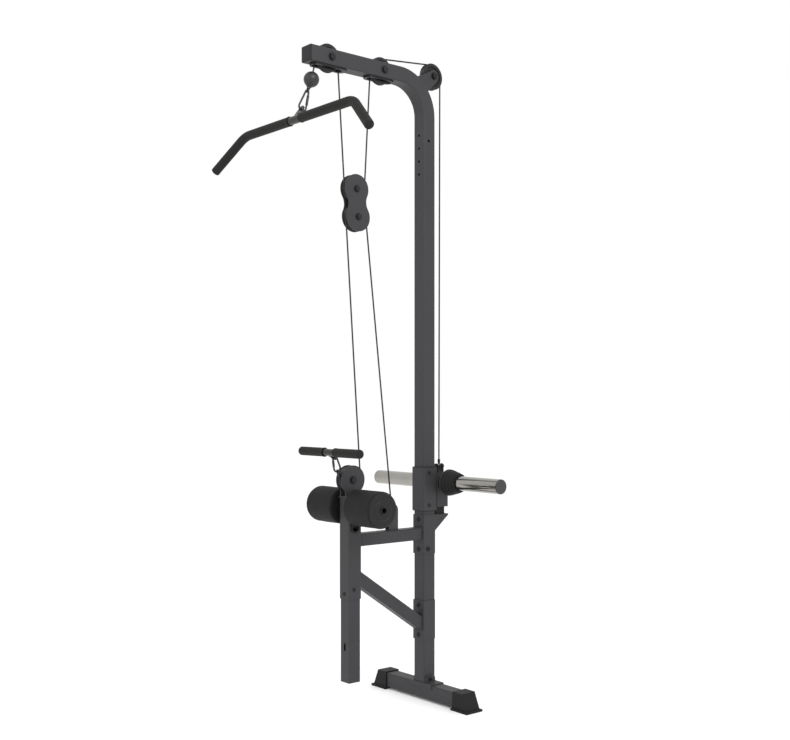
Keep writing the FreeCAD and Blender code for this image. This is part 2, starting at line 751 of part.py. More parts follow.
def build_pulley(label, y, z):
    turned(label, (0, y, z), sheave_profile(dim("pulley_radius"), dim("pulley_bore")))
    half = dim("pulley_width") / 2
    rim = dim("pulley_bore") - 0.02
    bore = dim("axle_radius") + 0.05
    turned(label + "_bearing", (0, y, z),
           [(-half, bore), (half, bore), (half, 8), (half - 0.6, 8.4), (half - 0.6, 10.8),
            (half, 11.2), (half, rim), (-half, rim), (-half, 11.2), (-half + 0.6, 10.8),
            (-half + 0.6, 8.4), (-half, 8)])


build_pulley("front_pulley", dim("front_pulley_y"), dim("arm_height"))
build_pulley("second_pulley", dim("second_pulley_y"), dim("arm_height"))
build_pulley("rear_pulley", dim("rear_pulley_y"), dim("rear_pulley_z"))
build_pulley("low_pulley", dim("leg_y"), dim("low_pulley_z"))


def pulley_bolt(y, z, inner, outer):
    """Axle bolt with its head on +X, a nut on -X and a spacer on each side of the pulley."""
    half = float(dim("pulley_width")) / 2 + 0.3
    pieces = [
        cylinder(dim("axle_radius"), 2 * outer + 9, (-outer - 8, y, z)),
        hexagon(10.5, 6, (outer, y, z)),
        hexagon(10.5, 6, (-outer, y, z), (-1, 0, 0)),
        cylinder(8, inner - half, (half, y, z)),
        cylinder(8, inner - half, (-inner, y, z)),
    ]
    return fuse(pieces)


axle_places = [
    (dim("front_pulley_y"), dim("arm_height"), 23, 25),
    (dim("second_pulley_y"), dim("arm_height"), 23, 25),
    (dim("rear_pulley_y"), dim("rear_pulley_z"), 12, 16),
    (dim("leg_y"), dim("low_pulley_z"), 11, 14.5),
]
group("pulley_axles", [pulley_bolt(*spot) for spot in axle_places], (0, 0, 0))

# ---- frame bolts ----

frame_bolts = []
for clamp in ("upper_clamp_z", "lower_clamp_z"):
    for offset in CLAMP_BOLT_OFFSETS:
        frame_bolts.append(bolt(0, float(clamp_front), float(dim(clamp)) + offset, (0, -1, 0), 8))
frame_bolts.append(bolt(28, -8, 502, (1, 0, 0), 8))
for side in (1, -1):
    frame_bolts.append(bolt(side * 29.2, 0, float(base_top) + 15, (side, 0, 0), 8))
frame_bolts.append(bolt(25, float(dim("leg_y")) - 4, 400, (1, 0, 0), 2, 5.5, 3))
frame_bolts.append(bolt(0, float(dim("leg_y")) - 25, 385, (0, -1, 0), 2, 5.5, 3))
frame_bolts.append(fuse([
    cylinder(dim("bolt_radius"), 30, (-14, dim("anchor_y"), dim("anchor_z"))),
    hexagon(7.5, 5, (10, dim("anchor_y"), dim("anchor_z"))),
    hexagon(7.5, 5, (-15, dim("anchor_y"), dim("anchor_z"))),
]))
group("frame_bolts", frame_bolts, (0, 0, 0))

# ---- carriage ----

carriage_middle = (dim("carriage_bottom") + dim("carriage_top")) / 2
SCREW_HEIGHTS = (756, 647)
SCREW_Y = -5
sleeve = straight_tube("carriage_sleeve", "XY_Plane", (0, 0, carriage_middle), dim("carriage_side"),
                       dim("carriage_side"), dim("carriage_wall"),
                       dim("carriage_top") - dim("carriage_bottom"), 4)
sketch = new_sketch(sleeve, "YZ_Plane")
for height in SCREW_HEIGHTS:
    circle(sketch, SCREW_Y, height - carriage_middle, 3)
pocket(sleeve, sketch)

liners = new_body("carriage_liners", 0, 0, dim("carriage_top"))
liner_outer = dim("carriage_side") - dim("carriage_wall") * 2
liner_inner = dim("tube_side") + 0.6
for level, down in ((0, True), (dim("carriage_bottom") - dim("carriage_top"), False)):
    sketch = new_sketch(liners, "XY_Plane", level)
    centred_rectangle(sketch, liner_outer - 0.2, liner_outer - 0.2, 2)
    centred_rectangle(sketch, liner_inner, liner_inner, dim("tube_corner"))
    pad(liners, sketch, 30, symmetric=False, reverse=down)
    sketch = new_sketch(liners, "XY_Plane", level)
    centred_rectangle(sketch, dim("carriage_side") - 1, dim("carriage_side") - 1, 4)
    centred_rectangle(sketch, liner_inner, liner_inner, dim("tube_corner"))
    pad(liners, sketch, 2.5, symmetric=False, reverse=not down)

screws = []
for side in (1, -1):
    for height in SCREW_HEIGHTS:
        head = cylinder(6, 2.5, (side * 30, SCREW_Y, height), (side, 0, 0))
        shank = cylinder(3, 4, (side * 27.2, SCREW_Y, height), (side, 0, 0))
        screws.append(fuse([head, shank]))
clevis_y = dim("clevis_y")
clevis_bolt = fuse([
    cylinder(dim("bolt_radius"), 37, (0, clevis_y - 18, dim("clevis_bolt_z")), (0, 1, 0)),
    hexagon(7.5, 5, (0, clevis_y - 17, dim("clevis_bolt_z")), (0, 1, 0)),
    hexagon(7.5, 5, (0, clevis_y + 17, dim("clevis_bolt_z")), (0, -1, 0)),
])
group("carriage_bolts", screws + [clevis_bolt], (0, 0, 0))

box_front = dim("carriage_side") / 2
box_middle_y = box_front + dim("box_depth") / 2
box_height = dim("box_top") - dim("box_bottom")
post_box = new_body("carriage_post_box", 0, box_middle_y, (dim("box_top") + dim("box_bottom")) / 2)
sketch = new_sketch(post_box, "XY_Plane")
centred_rectangle(sketch, dim("carriage_side"), dim("box_depth"), 3)
pad(post_box, sketch, box_height)
sketch = new_sketch(post_box, "XY_Plane")
centred_rectangle(sketch, dim("carriage_side") - 6, dim("box_depth") - 6, 1)
pocket(post_box, sketch, box_height - 6)
sketch = new_sketch(post_box, "YZ_Plane")
circle(sketch, dim("post_y") - box_middle_y, dim("post_z") - (dim("box_top") + dim("box_bottom")) / 2,
       dim("post_radius"))
pocket(post_box, sketch)

post_centre = (0, dim("post_y"), dim("post_z"))
reach = dim("post_reach")
post_bore = dim("post_radius") - 4
POST_RELIEFS = ((-66, -63), (63, 66), (110, 114))
RELIEF_DEPTH = 0.3
post_profile = [(-reach, post_bore), (-reach, dim("post_radius"))]
for start, end in POST_RELIEFS:
    post_profile += [(start, dim("post_radius")), (start, dim("post_radius") - RELIEF_DEPTH),
                     (end, dim("post_radius") - RELIEF_DEPTH), (end, dim("post_radius"))]
post_profile += [(reach, dim("post_radius")), (reach, post_bore)]
turned("weight_post", post_centre, post_profile)
caps = new_body("post_caps", *post_centre)
for side in (1, -1):
    sketch = new_sketch(caps, "XZ_Plane")
    rim = dim("post_radius") - 0.3
    polygon(sketch, [(reach * side, 0), ((reach + 5) * side, 0), ((reach + 5) * side, rim - 2),
                     ((reach + 3) * side, rim), (reach * side, rim)])
    revolve(caps, sketch)
    sketch = new_sketch(caps, "XZ_Plane")
    polygon(sketch, [((reach - 14) * side, 0), (reach * side, 0), (reach * side, post_bore - 0.1),
                     ((reach - 14) * side, post_bore - 0.1)])
    revolve(caps, sketch)
flanges = new_body("post_flanges", *post_centre)
for side in (1, -1):
    sketch = new_sketch(flanges, "XZ_Plane")
    inner, outer_face = dim("flange_inner") * side, dim("flange_outer") * side
    polygon(sketch, [(inner, dim("post_radius")), (outer_face, dim("post_radius")),
                     (outer_face, dim("flange_radius")), (inner, dim("flange_radius"))])
    revolve(flanges, sketch)

COLLAR_STEPS = ((0, 43), (9, 42.5), (11, 40), (22, 39), (24, 37), (35, 36), (37, 33), (48, 32))
collar_profile = [(dim("flange_outer") + along, radius) for along, radius in COLLAR_STEPS]
collar_profile += [(dim("flange_outer") + 48, dim("post_radius") + 0.1),
                   (dim("flange_outer"), dim("post_radius") + 0.1)]
turned("post_collar", post_centre, collar_profile)

clevis = new_body("cable_clevis", 0, clevis_y, dim("clevis_bolt_z"))
clevis_foot = dim("box_top") - dim("clevis_bolt_z")
sketch = new_sketch(clevis, "XZ_Plane")
rectangle(sketch, -11, clevis_foot, 11, 3)
pad(clevis, sketch, 24)
sketch = new_sketch(clevis, "XZ_Plane")
rectangle(sketch, -7, 3, 7, 8)
pad(clevis, sketch, 24)
sketch = new_sketch(clevis, "XZ_Plane")
rectangle(sketch, -20, clevis_foot + 3, 20, 20)
pocket(clevis, sketch, 18)
sketch = new_sketch(clevis, "XZ_Plane")
circle(sketch, 0, 0, dim("bolt_radius"))
pocket(clevis, sketch)

# ---- floating block ----

block_at = (0, dim("block_y"), dim("block_z"))
lobe = dim("block_lobe")
half_block = dim("block_half")
plates = new_body("block_plates", *block_at, tilt=BLOCK_TILT)
for side in (1, -1):
    sketch = new_sketch(plates, "YZ_Plane")
    circle(sketch, 0, half_block * side, lobe)
    pad(plates, sketch, 26)
waist_radius = ((float(dim("block_waist")) ** 2 + float(half_block) ** 2 - float(lobe) ** 2)
                / (2 * (float(lobe) - float(dim("block_waist")))))
touch = float(lobe) / (float(lobe) + waist_radius)
touch_y = (float(dim("block_waist")) + waist_radius) * touch
touch_z = float(half_block) * (1 - touch)
sketch = new_sketch(plates, "YZ_Plane")
rectangle(sketch, -touch_y, -touch_z, touch_y, touch_z)
pad(plates, sketch, 26)
sketch = new_sketch(plates, "YZ_Plane")
for side in (1, -1):
    circle(sketch, side * (dim("block_waist") + waist_radius), 0, waist_radius)
pocket(plates, sketch)
sketch = new_sketch(plates, "YZ_Plane")
rectangle(sketch, -80, -120, 80, 120)
pocket(plates, sketch, 20)
sketch = new_sketch(plates, "YZ_Plane")
for side in (1, -1):
    circle(sketch, 0, half_block * side, dim("axle_radius"))
pocket(plates, sketch)


def block_bolt(height):
    half = float(dim("pulley_width")) / 2 + 0.3
    pieces = [
        cylinder(dim("axle_radius"), 35, (-21, 0, height)),
        hexagon(9.2, 6, (13, 0, height)),
        hexagon(9.2, 6, (-13, 0, height), (-1, 0, 0)),
        cylinder(8, 10 - half, (half, 0, height)),
        cylinder(8, 10 - half, (-10, 0, height)),
    ]
    return fuse(pieces)


group("block_bolts", [block_bolt(float(half_block)), block_bolt(-float(half_block))], block_at, BLOCK_TILT)


def from_block(side):
    """Centre of a block sheave, from the upright's axis, after the block's tilt."""
    lean = math.radians(BLOCK_TILT)
    return (dim("block_y") - half_block * side * math.sin(lean),
            dim("block_z") + half_block * side * math.cos(lean))


for side, label in ((1, "block_top_sheave"), (-1, "block_bottom_sheave")):
    centre_y, centre_z = from_block(side)
    turned(label, (0, centre_y, centre_z),
           sheave_profile(dim("block_sheave_radius"), dim("axle_radius") + 0.05))

# ---- lat bar, its hook and the stop ball ----


def ring_fitting(label, centre, tilt, ball, bore_tilt, collar_start, collar_end, cable_depth):
    """A crimped cable end with a ring below it, and the stop ball above it if there is one."""
    lean = math.radians(bore_tilt)
    along = (0, -math.sin(lean), math.cos(lean))
    collar = cylinder(5.5, collar_end - collar_start, (0, 0, -collar_end), (0, 0, 1))
    ring = torus(RING_RADIUS, RING_WIRE, (0, 0, -collar_end - RING_RADIUS), (0, 1, 0))
    pieces = [collar, ring]
    if ball:
        pieces.append(sphere(dim("ball_radius"), (0, 0, 0)))
        pieces.append(cylinder(9, 8, (0, 0, -collar_start - 5), (0, 0, 1)))
    start = [-cable_depth * step for step in along]
    hole = cylinder(dim("cable_radius") + 0.1, 60, start, along)
    keep(label, cut(fuse(pieces), hole), centre, tilt)


ball_at = (0, dim("ball_y"), dim("ball_z"))
LEAD_TILT = -14.048
ring_fitting("lat_stop_ball", ball_at, -FITTING_TILT, True, FITTING_TILT + LEAD_TILT, 20, 34, 0)
RING_DROP = 34 + 2 * RING_RADIUS


def along_tilt(start, tilt, distance):
    """The point a distance down from another, along a line leaning forward by some degrees."""
    lean = math.radians(tilt)
    return (start[0] - distance * math.sin(lean), start[1] - distance * math.cos(lean))


def hook(label, start, tilt, top_radius, bottom_radius, distance):
    """A closed snap hook: two arcs, tangent sides, and a gate sleeve on the rear side."""
    seat = top_radius - RING_RADIUS
    lean = math.asin((bottom_radius - top_radius) / (distance - seat))
    side = Vector(0, math.cos(lean), math.sin(lean))
    centre_top = Vector(0, 0, -seat)
    centre_bottom = Vector(0, 0, -distance)
    other = Vector(0, -side.y, side.z)
    rear_top, rear_bottom = centre_top + side * top_radius, centre_bottom + side * bottom_radius
    front_top, front_bottom = centre_top + other * top_radius, centre_bottom + other * bottom_radius
    wire = Part.Wire([
        Part.Arc(front_top, Vector(0, 0, RING_RADIUS), rear_top).toShape(),
        Part.LineSegment(rear_top, rear_bottom).toShape(),
        Part.Arc(rear_bottom, Vector(0, 0, -distance - bottom_radius), front_bottom).toShape(),
        Part.LineSegment(front_bottom, front_top).toShape(),
    ])
    ring = Part.Wire(Part.Circle(rear_top, rear_bottom - rear_top, HOOK_WIRE).toShape())
    solid = wire.makePipeShell([ring], True, True)
    run = rear_bottom - rear_top
    gate = Part.makeCylinder(HOOK_WIRE + 1.1, run.Length * 0.62, rear_top + run * 0.2, run)
    item = doc.addObject("Part::Feature", label)
    item.Shape = solid.fuse(gate).removeSplitter()
    item.Label = label
    place(item, 0, start[0], start[1], -tilt)
    nodes.append(item)


ring_at = along_tilt((float(dim("ball_y")), float(dim("ball_z"))), FITTING_TILT, RING_DROP)
HOOK_SPAN = 50.4
hook("lat_snap_hook", (ring_at[0], ring_at[1]), LAT_HOOK_TILT, 5.5, 13, HOOK_SPAN)


def build_lug(body, bar_radius, tilt, reach_up, sign):
    """A flat lug welded on a bar, with a hole for the snap hook."""
    centre = (reach_up - 10) * sign
    root = (bar_radius - 1) * sign
    sketch = new_sketch(body, "XZ_Plane", tilt=tilt)
    circle(sketch, 0, centre, 13)
    pad(body, sketch, 5)
    sketch = new_sketch(body, "XZ_Plane", tilt=tilt)
    top = centre + 4 * sign
    polygon(sketch, [(-22, root), (22, root), (11.8, top), (-11.8, top)])
    pad(body, sketch, 5)
    sketch = new_sketch(body, "XZ_Plane", tilt=tilt)
    circle(sketch, 0, centre, 7)
    pocket(body, sketch, 5.5)


def swept_half(body, kind, radius, start, end_x, end_drop, bore=None):
    """One half of the bent bar, from the plane at start to the bar's end."""
    spine = new_sketch(body, "XZ_Plane")
    path(spine, [(start, 0), (dim("lat_bend_x"), 0), (end_x, -end_drop)], dim("lat_bend_radius"))
    profile = new_sketch(body, "YZ_Plane", start)
    circle(profile, 0, 0, radius)
    if bore:
        circle(profile, 0, 0, bore)
    doc.recompute()
    return pipe(body, kind, profile, spine)


lat_at = (0, dim("lat_bar_y"), dim("lat_bar_z"))
lat_bar = new_body("lat_bar", *lat_at, tilt=-LAT_BAR_TILT)
half_bar = swept_half(lat_bar, "AdditivePipe", dim("lat_bar_radius"), 0, dim("lat_end_x"),
                      dim("lat_end_drop"), dim("lat_bar_radius") - 3)
mirror(lat_bar, [half_bar])
build_lug(lat_bar, dim("lat_bar_radius"), LAT_BAR_TILT - LAT_LUG_TILT, 50, 1)

lat_grips = new_body("lat_bar_grips", *lat_at, tilt=-LAT_BAR_TILT)
END_SLOPE = (float(dim("lat_end_x") - dim("lat_bend_x")), float(dim("lat_end_drop")))
overhang = 3 / math.hypot(*END_SLOPE)
rubber = swept_half(lat_grips, "AdditivePipe", dim("lat_grip_radius"), dim("grip_gap") + 2,
                    dim("lat_end_x") + overhang * END_SLOPE[0], dim("lat_end_drop") + overhang * END_SLOPE[1])
hollow = swept_half(lat_grips, "SubtractivePipe", dim("lat_bar_radius") + 0.1, dim("grip_gap") + 2,
                    dim("lat_end_x"), dim("lat_end_drop"))
mirror(lat_grips, [rubber, hollow])

# ---- low handle ----

LOW_TILT = 16
LOW_LUG_TILT = 42
LOW_LUG_REACH = 28.4
LOW_HOOK_SPAN = 36
low_at = (0, dim("low_bar_y"), dim("low_bar_z"))
lug_at = along_tilt((float(low_at[1]), float(low_at[2])), -LOW_LUG_TILT, LOW_LUG_REACH)
low_ring_at = along_tilt(lug_at, -LOW_TILT, LOW_HOOK_SPAN)
low_fitting_at = along_tilt(low_ring_at, -LOW_TILT, RING_DROP)
ring_fitting("low_cable_fitting", (0, low_fitting_at[0], low_fitting_at[1]), 180 + LOW_TILT,
             False, 0, 26, 34, 32)
hook("low_snap_hook", low_ring_at, -180 - LOW_TILT, 12, 8, LOW_HOOK_SPAN)

low_reach = dim("low_bar_reach")
low_handle = new_body("low_handle", *low_at)
sketch = new_sketch(low_handle, "YZ_Plane")
circle(sketch, 0, 0, dim("low_bar_radius"))
circle(sketch, 0, 0, dim("low_bar_radius") - 2)
pad(low_handle, sketch, (low_reach - 3) * 2)
build_lug(low_handle, dim("low_bar_radius"), LOW_LUG_TILT, LOW_LUG_REACH, -1)

low_grips = new_body("low_handle_grips", *low_at)
hollow_radius = dim("low_bar_radius") + 0.1
for side in (1, -1):
    sketch = new_sketch(low_grips, "XZ_Plane")
    start, shell, end = dim("grip_gap") * side, (low_reach - 3) * side, low_reach * side
    polygon(sketch, [(start, hollow_radius), (shell, hollow_radius), (shell, 0), (end, 0),
                     (end, dim("low_grip_radius") - 3), (shell, dim("low_grip_radius")),
                     (start, dim("low_grip_radius"))])
    revolve(low_grips, sketch)

# ---- cables ----


def tangent_run(first, second):
    """Ends of the straight cable between two stops, each (y, z, radius, turn), turn +1 anticlockwise."""
    dy, dz = second[0] - first[0], second[1] - first[1]
    gap = math.hypot(dy, dz)
    offset = second[3] * second[2] - first[3] * first[2]
    heading = math.atan2(dz, dy) - math.asin(offset / gap)
    normal = (-math.sin(heading), math.cos(heading))
    return [Vector(0, stop[0] - stop[3] * stop[2] * normal[0], stop[1] - stop[3] * stop[2] * normal[1])
            for stop in (first, second)]


def turn_arc(stop, start, end):
    centre = Vector(0, stop[0], stop[1])
    begin = math.atan2(start.z - centre.z, start.y - centre.y)
    finish = math.atan2(end.z - centre.z, end.y - centre.y)
    sweep = (finish - begin) * stop[3] % (2 * math.pi)
    half_way = begin + stop[3] * sweep / 2
    middle = centre + Vector(0, math.cos(half_way), math.sin(half_way)) * stop[2]
    return Part.Arc(start, middle, end)


def cable_route(stops):
    """Every straight run and turn along the stops, in order: run, turn, run, turn, ... run."""
    runs = [tangent_run(stops[i], stops[i + 1]) for i in range(len(stops) - 1)]
    edges = []
    for i, (start, end) in enumerate(runs):
        if i > 0:
            edges.append(turn_arc(stops[i], runs[i - 1][1], start))
        edges.append(Part.LineSegment(start, end))
    return edges


def shorten(edge, from_start, from_end):
    start, end = edge.StartPoint, edge.EndPoint
    step = (end - start).normalize()
    return Part.LineSegment(start + step * from_start, end - step * from_end)


def cable(label, edges, eye=None):
    """One length of round cable; an eye is (centre, axis) at an end with a crimped ferrule."""
    wire = Part.Wire([edge.toShape() for edge in edges])
    radius = float(dim("cable_radius"))
    start = edges[0].value(edges[0].FirstParameter)
    heading = Vector(*edges[0].tangent(edges[0].FirstParameter)[0])
    section = Part.Wire(Part.Circle(start, heading, radius).toShape())
    solid = wire.makePipeShell([section], True, True)
    expected = math.pi * radius ** 2 * wire.Length
    curves = [edge.toShape().Curve for edge in edges]
    bends = [curve.Radius for curve in curves if hasattr(curve, "Radius")]
    print("%s: length %.1f, tightest bend %s, volume over expected %.5f" % (
        label, wire.Length, "%.1f" % min(bends) if bends else "none", solid.Volume / expected))
    if abs(solid.Volume / expected - 1) > 0.002:
        raise RuntimeError(label + " is not a clean sweep")
    if eye:
        centre, axis, away = eye
        ring = Part.makeTorus(7, 2.2, centre, axis)
        ferrule = Part.makeCylinder(4.2, 14, centre + away * 9.5, away)
        solid = solid.fuse([ring, ferrule]).removeSplitter()
    item = doc.addObject("Part::Feature", label)
    item.Shape = solid
    item.Label = label
    place(item, 0, 0, 0)
    nodes.append(item)


def stop(y, z, turn=0):
    return (float(y), float(z), float(dim("pitch_radius")) if turn else 0.0, turn)


EYE_OFFSET = 7
top_sheave = from_block(1)
bottom_sheave = from_block(-1)
upper = cable_route([
    stop(dim("ball_y"), dim("ball_z")),
    stop(dim("front_pulley_y"), dim("arm_height"), -1),
    stop(*top_sheave, 1),
    stop(dim("second_pulley_y"), dim("arm_height"), -1),
    stop(dim("rear_pulley_y"), dim("rear_pulley_z"), -1),
    stop(dim("clevis_y"), dim("clevis_bolt_z")),
])
cable("upper_cable_lead", upper[0:2])
cable("upper_cable_loop", upper[2:5])
clevis_point = Vector(0, float(dim("clevis_y")), float(dim("clevis_bolt_z")))
cable("upper_cable_drop", upper[5:8] + [shorten(upper[8], 0, EYE_OFFSET)],
      (clevis_point, Vector(0, 1, 0), Vector(0, 0, 1)))

lower = cable_route([
    stop(dim("anchor_y"), dim("anchor_z")),
    stop(*bottom_sheave, 1),
    stop(dim("leg_y"), dim("low_pulley_z"), -1),
    stop(low_ring_at[0], low_ring_at[1]),
])
anchor_point = Vector(0, float(dim("anchor_y")), float(dim("anchor_z")))
anchor_heading = (lower[0].EndPoint - lower[0].StartPoint).normalize()
cable("lower_cable_loop", [shorten(lower[0], EYE_OFFSET, 0)] + lower[1:4],
      (anchor_point, Vector(1, 0, 0), anchor_heading))
cable("lower_cable_lead", [shorten(lower[4], 0, RING_DROP - 31)])

# ---- check and write ----

doc.recompute()
for item in doc.Objects:
    if "Invalid" in item.State or "Error" in item.State:
        raise RuntimeError(item.Label + " did not recompute")
os.makedirs("parts", exist_ok=True)
whole = FreeCAD.BoundBox()
for node in nodes:
    shape = node.Shape
    if shape.isNull() or not shape.isValid() or not shape.Solids:
        raise RuntimeError(node.Label + " has no valid solid")
    whole.add(shape.BoundBox)
    shape.exportStep("parts/%s.step" % node.Label)
    print("%-20s solids %2d volume %10.0f" % (node.Label, len(shape.Solids), shape.Volume))
print(len(nodes), "sub-parts; box", whole)
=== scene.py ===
import json
import math

import bpy
from mathutils import Matrix, Vector


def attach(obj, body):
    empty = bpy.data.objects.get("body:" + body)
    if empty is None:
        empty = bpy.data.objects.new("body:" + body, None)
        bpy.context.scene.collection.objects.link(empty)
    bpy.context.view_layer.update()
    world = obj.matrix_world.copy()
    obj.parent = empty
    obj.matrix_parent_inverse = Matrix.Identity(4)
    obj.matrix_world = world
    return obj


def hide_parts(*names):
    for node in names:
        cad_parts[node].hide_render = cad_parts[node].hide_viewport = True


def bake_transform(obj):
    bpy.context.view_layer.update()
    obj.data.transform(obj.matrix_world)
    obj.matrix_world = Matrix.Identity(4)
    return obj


UPRIGHT_Y = 0.239235

# ---- camera ----

camera_data = bpy.data.cameras.new("camera")
camera_data.lens = 50.03
camera_data.sensor_width = 36.0
camera_data.shift_y = 0.038
camera_data.clip_end = 60.0
camera = bpy.data.objects.new("camera", camera_data)
camera.location = (2.7606, -2.4354 + UPRIGHT_Y, 0.9975)
camera.rotation_euler = (math.radians(90.0), 0.0, math.radians(50.12))
bpy.context.scene.collection.objects.link(camera)
bpy.context.scene.camera = camera

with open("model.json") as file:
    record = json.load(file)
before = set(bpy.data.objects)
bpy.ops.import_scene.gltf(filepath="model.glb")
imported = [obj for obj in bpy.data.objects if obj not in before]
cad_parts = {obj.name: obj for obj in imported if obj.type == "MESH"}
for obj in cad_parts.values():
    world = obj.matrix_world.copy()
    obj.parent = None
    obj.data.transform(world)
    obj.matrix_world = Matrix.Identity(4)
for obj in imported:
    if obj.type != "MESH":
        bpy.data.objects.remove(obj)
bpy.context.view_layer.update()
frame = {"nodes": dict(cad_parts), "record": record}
nodes = frame["nodes"]


# ---- materials ----


def node_link(tree, source, target):
    tree.links.new(source, target)


def ramp(tree, source, low, high, low_value, high_value):
    """Map a texture value between two stops to a pair of values."""
    item = tree.nodes.new("ShaderNodeMapRange")
    item.inputs["From Min"].default_value = low
    item.inputs["From Max"].default_value = high
    item.inputs["To Min"].default_value = low_value
    item.inputs["To Max"].default_value = high_value
    node_link(tree, source, item.inputs["Value"])
    return item.outputs["Result"]


def noise(tree, coordinates, scale, detail, stretch=None):
    source = coordinates
    if stretch:
        mapping = tree.nodes.new("ShaderNodeMapping")
        mapping.inputs["Scale"].default_value = stretch
        node_link(tree, coordinates, mapping.inputs["Vector"])
        source = mapping.outputs["Vector"]
    item = tree.nodes.new("ShaderNodeTexNoise")
    item.inputs["Scale"].default_value = scale
    item.inputs["Detail"].default_value = detail
    node_link(tree, source, item.inputs["Vector"])
    return item.outputs["Fac"]


def surface(name, dark, light, rough, metallic=0.0, patch=5.0, grain=700.0, bump=0.05, stretch=None,
            cells=None, speck=0.0, gloss=0.5):
    """A surface with patches and fine grain in its colour, patches in its roughness and grain in its relief.

    cells puts a cell pattern in the relief instead of the grain, and speck adds pale dust.
    """
    material = bpy.data.materials.new(name)
    material.use_nodes = True
    tree = material.node_tree
    shader = tree.nodes["Principled BSDF"]
    coordinates = tree.nodes.new("ShaderNodeTexCoord").outputs["Object"]
    patches = noise(tree, coordinates, patch, 5.0)
    fine = noise(tree, coordinates, grain, 3.0, stretch)
    mix = tree.nodes.new("ShaderNodeMix")
    mix.data_type = "RGBA"
    mix.inputs["A"].default_value = (*dark, 1.0)
    mix.inputs["B"].default_value = (*light, 1.0)
    both = tree.nodes.new("ShaderNodeMath")
    both.operation = "MULTIPLY_ADD"
    both.inputs[1].default_value = 0.45
    node_link(tree, fine, both.inputs[0])
    node_link(tree, ramp(tree, patches, 0.3, 0.7, 0.0, 0.55), both.inputs[2])
    node_link(tree, both.outputs["Value"], mix.inputs["Factor"])
    colour = mix.outputs["Result"]
    if speck:
        dust = noise(tree, coordinates, 260.0, 2.0)
        over = tree.nodes.new("ShaderNodeMix")
        over.data_type = "RGBA"
        over.inputs["B"].default_value = (0.55, 0.54, 0.52, 1.0)
        node_link(tree, ramp(tree, dust, 0.69, 0.78, 0.0, speck), over.inputs["Factor"])
        node_link(tree, colour, over.inputs["A"])
        colour = over.outputs["Result"]
    node_link(tree, colour, shader.inputs["Base Color"])
    node_link(tree, ramp(tree, patches, 0.25, 0.75, rough - 0.05, rough + 0.06), shader.inputs["Roughness"])
    shader.inputs["Metallic"].default_value = metallic
    shader.inputs["Specular IOR Level"].default_value = gloss
    height = fine
    if cells:
        voronoi = tree.nodes.new("ShaderNodeTexVoronoi")
        voronoi.inputs["Scale"].default_value = cells
        node_link(tree, coordinates, voronoi.inputs["Vector"])
        height = voronoi.outputs["Distance"]
    relief = tree.nodes.new("ShaderNodeBump")
    relief.inputs["Strength"].default_value = bump
    relief.inputs["Distance"].default_value = 0.001
    node_link(tree, height, relief.inputs["Height"])
    node_link(tree, relief.outputs["Normal"], shader.inputs["Normal"])
    return material


MATERIALS = {
    "grey_powder_coat": surface("grey_powder_coat", (0.027, 0.027, 0.0295), (0.038, 0.038, 0.0412), 0.50,
                                bump=0.14, grain=900.0, speck=0.05, gloss=0.30),
    "block_paint": surface("block_paint", (0.027, 0.027, 0.030), (0.037, 0.037, 0.041), 0.45, bump=0.12,
                           grain=900.0, speck=0.04, gloss=0.30),
    "black_rubber": surface("black_rubber", (0.0062, 0.0062, 0.0062), (0.012, 0.012, 0.012), 0.62, bump=0.25,
                            grain=420.0, speck=0.04, gloss=0.22),
    "black_plastic": surface("black_plastic", (0.0056, 0.0056, 0.0062), (0.0096, 0.0096, 0.0104), 0.44,
                             bump=0.10, grain=650.0, gloss=0.28),
    "grey_plastic": surface("grey_plastic", (0.030, 0.030, 0.0325), (0.044, 0.044, 0.047), 0.40, bump=0.08,
                            gloss=0.35),
    "pulley_nylon": surface("pulley_nylon", (0.008, 0.008, 0.009), (0.015, 0.015, 0.016), 0.36, bump=0.08,
                            grain=500.0, gloss=0.32),
    "bearing_steel": surface("bearing_steel", (0.20, 0.20, 0.205), (0.30, 0.30, 0.305), 0.32, metallic=1.0,
                             bump=0.04, stretch=(0.05, 1.0, 1.0)),
    "dark_bolts": surface("dark_bolts", (0.016, 0.016, 0.018), (0.032, 0.032, 0.035), 0.36, metallic=0.6,
                          bump=0.05, gloss=0.35),
    "chrome_steel": surface("chrome_steel", (0.25, 0.240, 0.222), (0.40, 0.388, 0.362), 0.14, metallic=1.0,
                            bump=0.03, grain=900.0, stretch=(0.04, 1.0, 1.0)),
    "bar_steel": surface("bar_steel", (0.040, 0.0395, 0.038), (0.075, 0.074, 0.070), 0.30, metallic=1.0,
                         bump=0.04, grain=900.0),
    "hook_steel": surface("hook_steel", (0.035, 0.035, 0.037), (0.080, 0.080, 0.084), 0.36, metallic=1.0,
                          patch=60.0, bump=0.06),
    "ball_rubber": surface("ball_rubber", (0.0130, 0.0130, 0.0140), (0.0215, 0.0215, 0.0230), 0.34, bump=0.16,
                           grain=380.0, speck=0.06, gloss=0.45),
    "grip_rubber": surface("grip_rubber", (0.0050, 0.0050, 0.0045), (0.0092, 0.0092, 0.0083), 0.60, bump=0.30,
                           grain=600.0, speck=0.06, gloss=0.25),
    "roller_foam": surface("roller_foam", (0.0068, 0.0068, 0.0066), (0.0112, 0.0112, 0.0108), 0.70, bump=0.45,
                           cells=900.0, speck=0.05, gloss=0.22),
    "cable_coat": surface("cable_coat", (0.012, 0.012, 0.013), (0.024, 0.024, 0.026), 0.36, bump=0.05,
                          gloss=0.30),
    "weld_bead": surface("weld_bead", (0.027, 0.027, 0.030), (0.039, 0.039, 0.042), 0.50, bump=0.20,
                         patch=90.0, gloss=0.30),
}

record = frame["record"]
slot_of = {part["node"]: part["material_slot"] for part in record["subparts"]}
for node_name, item in nodes.items():
    item.data.materials.clear()
    item.data.materials.append(MATERIALS[slot_of[node_name]])


# ---- mesh building ----


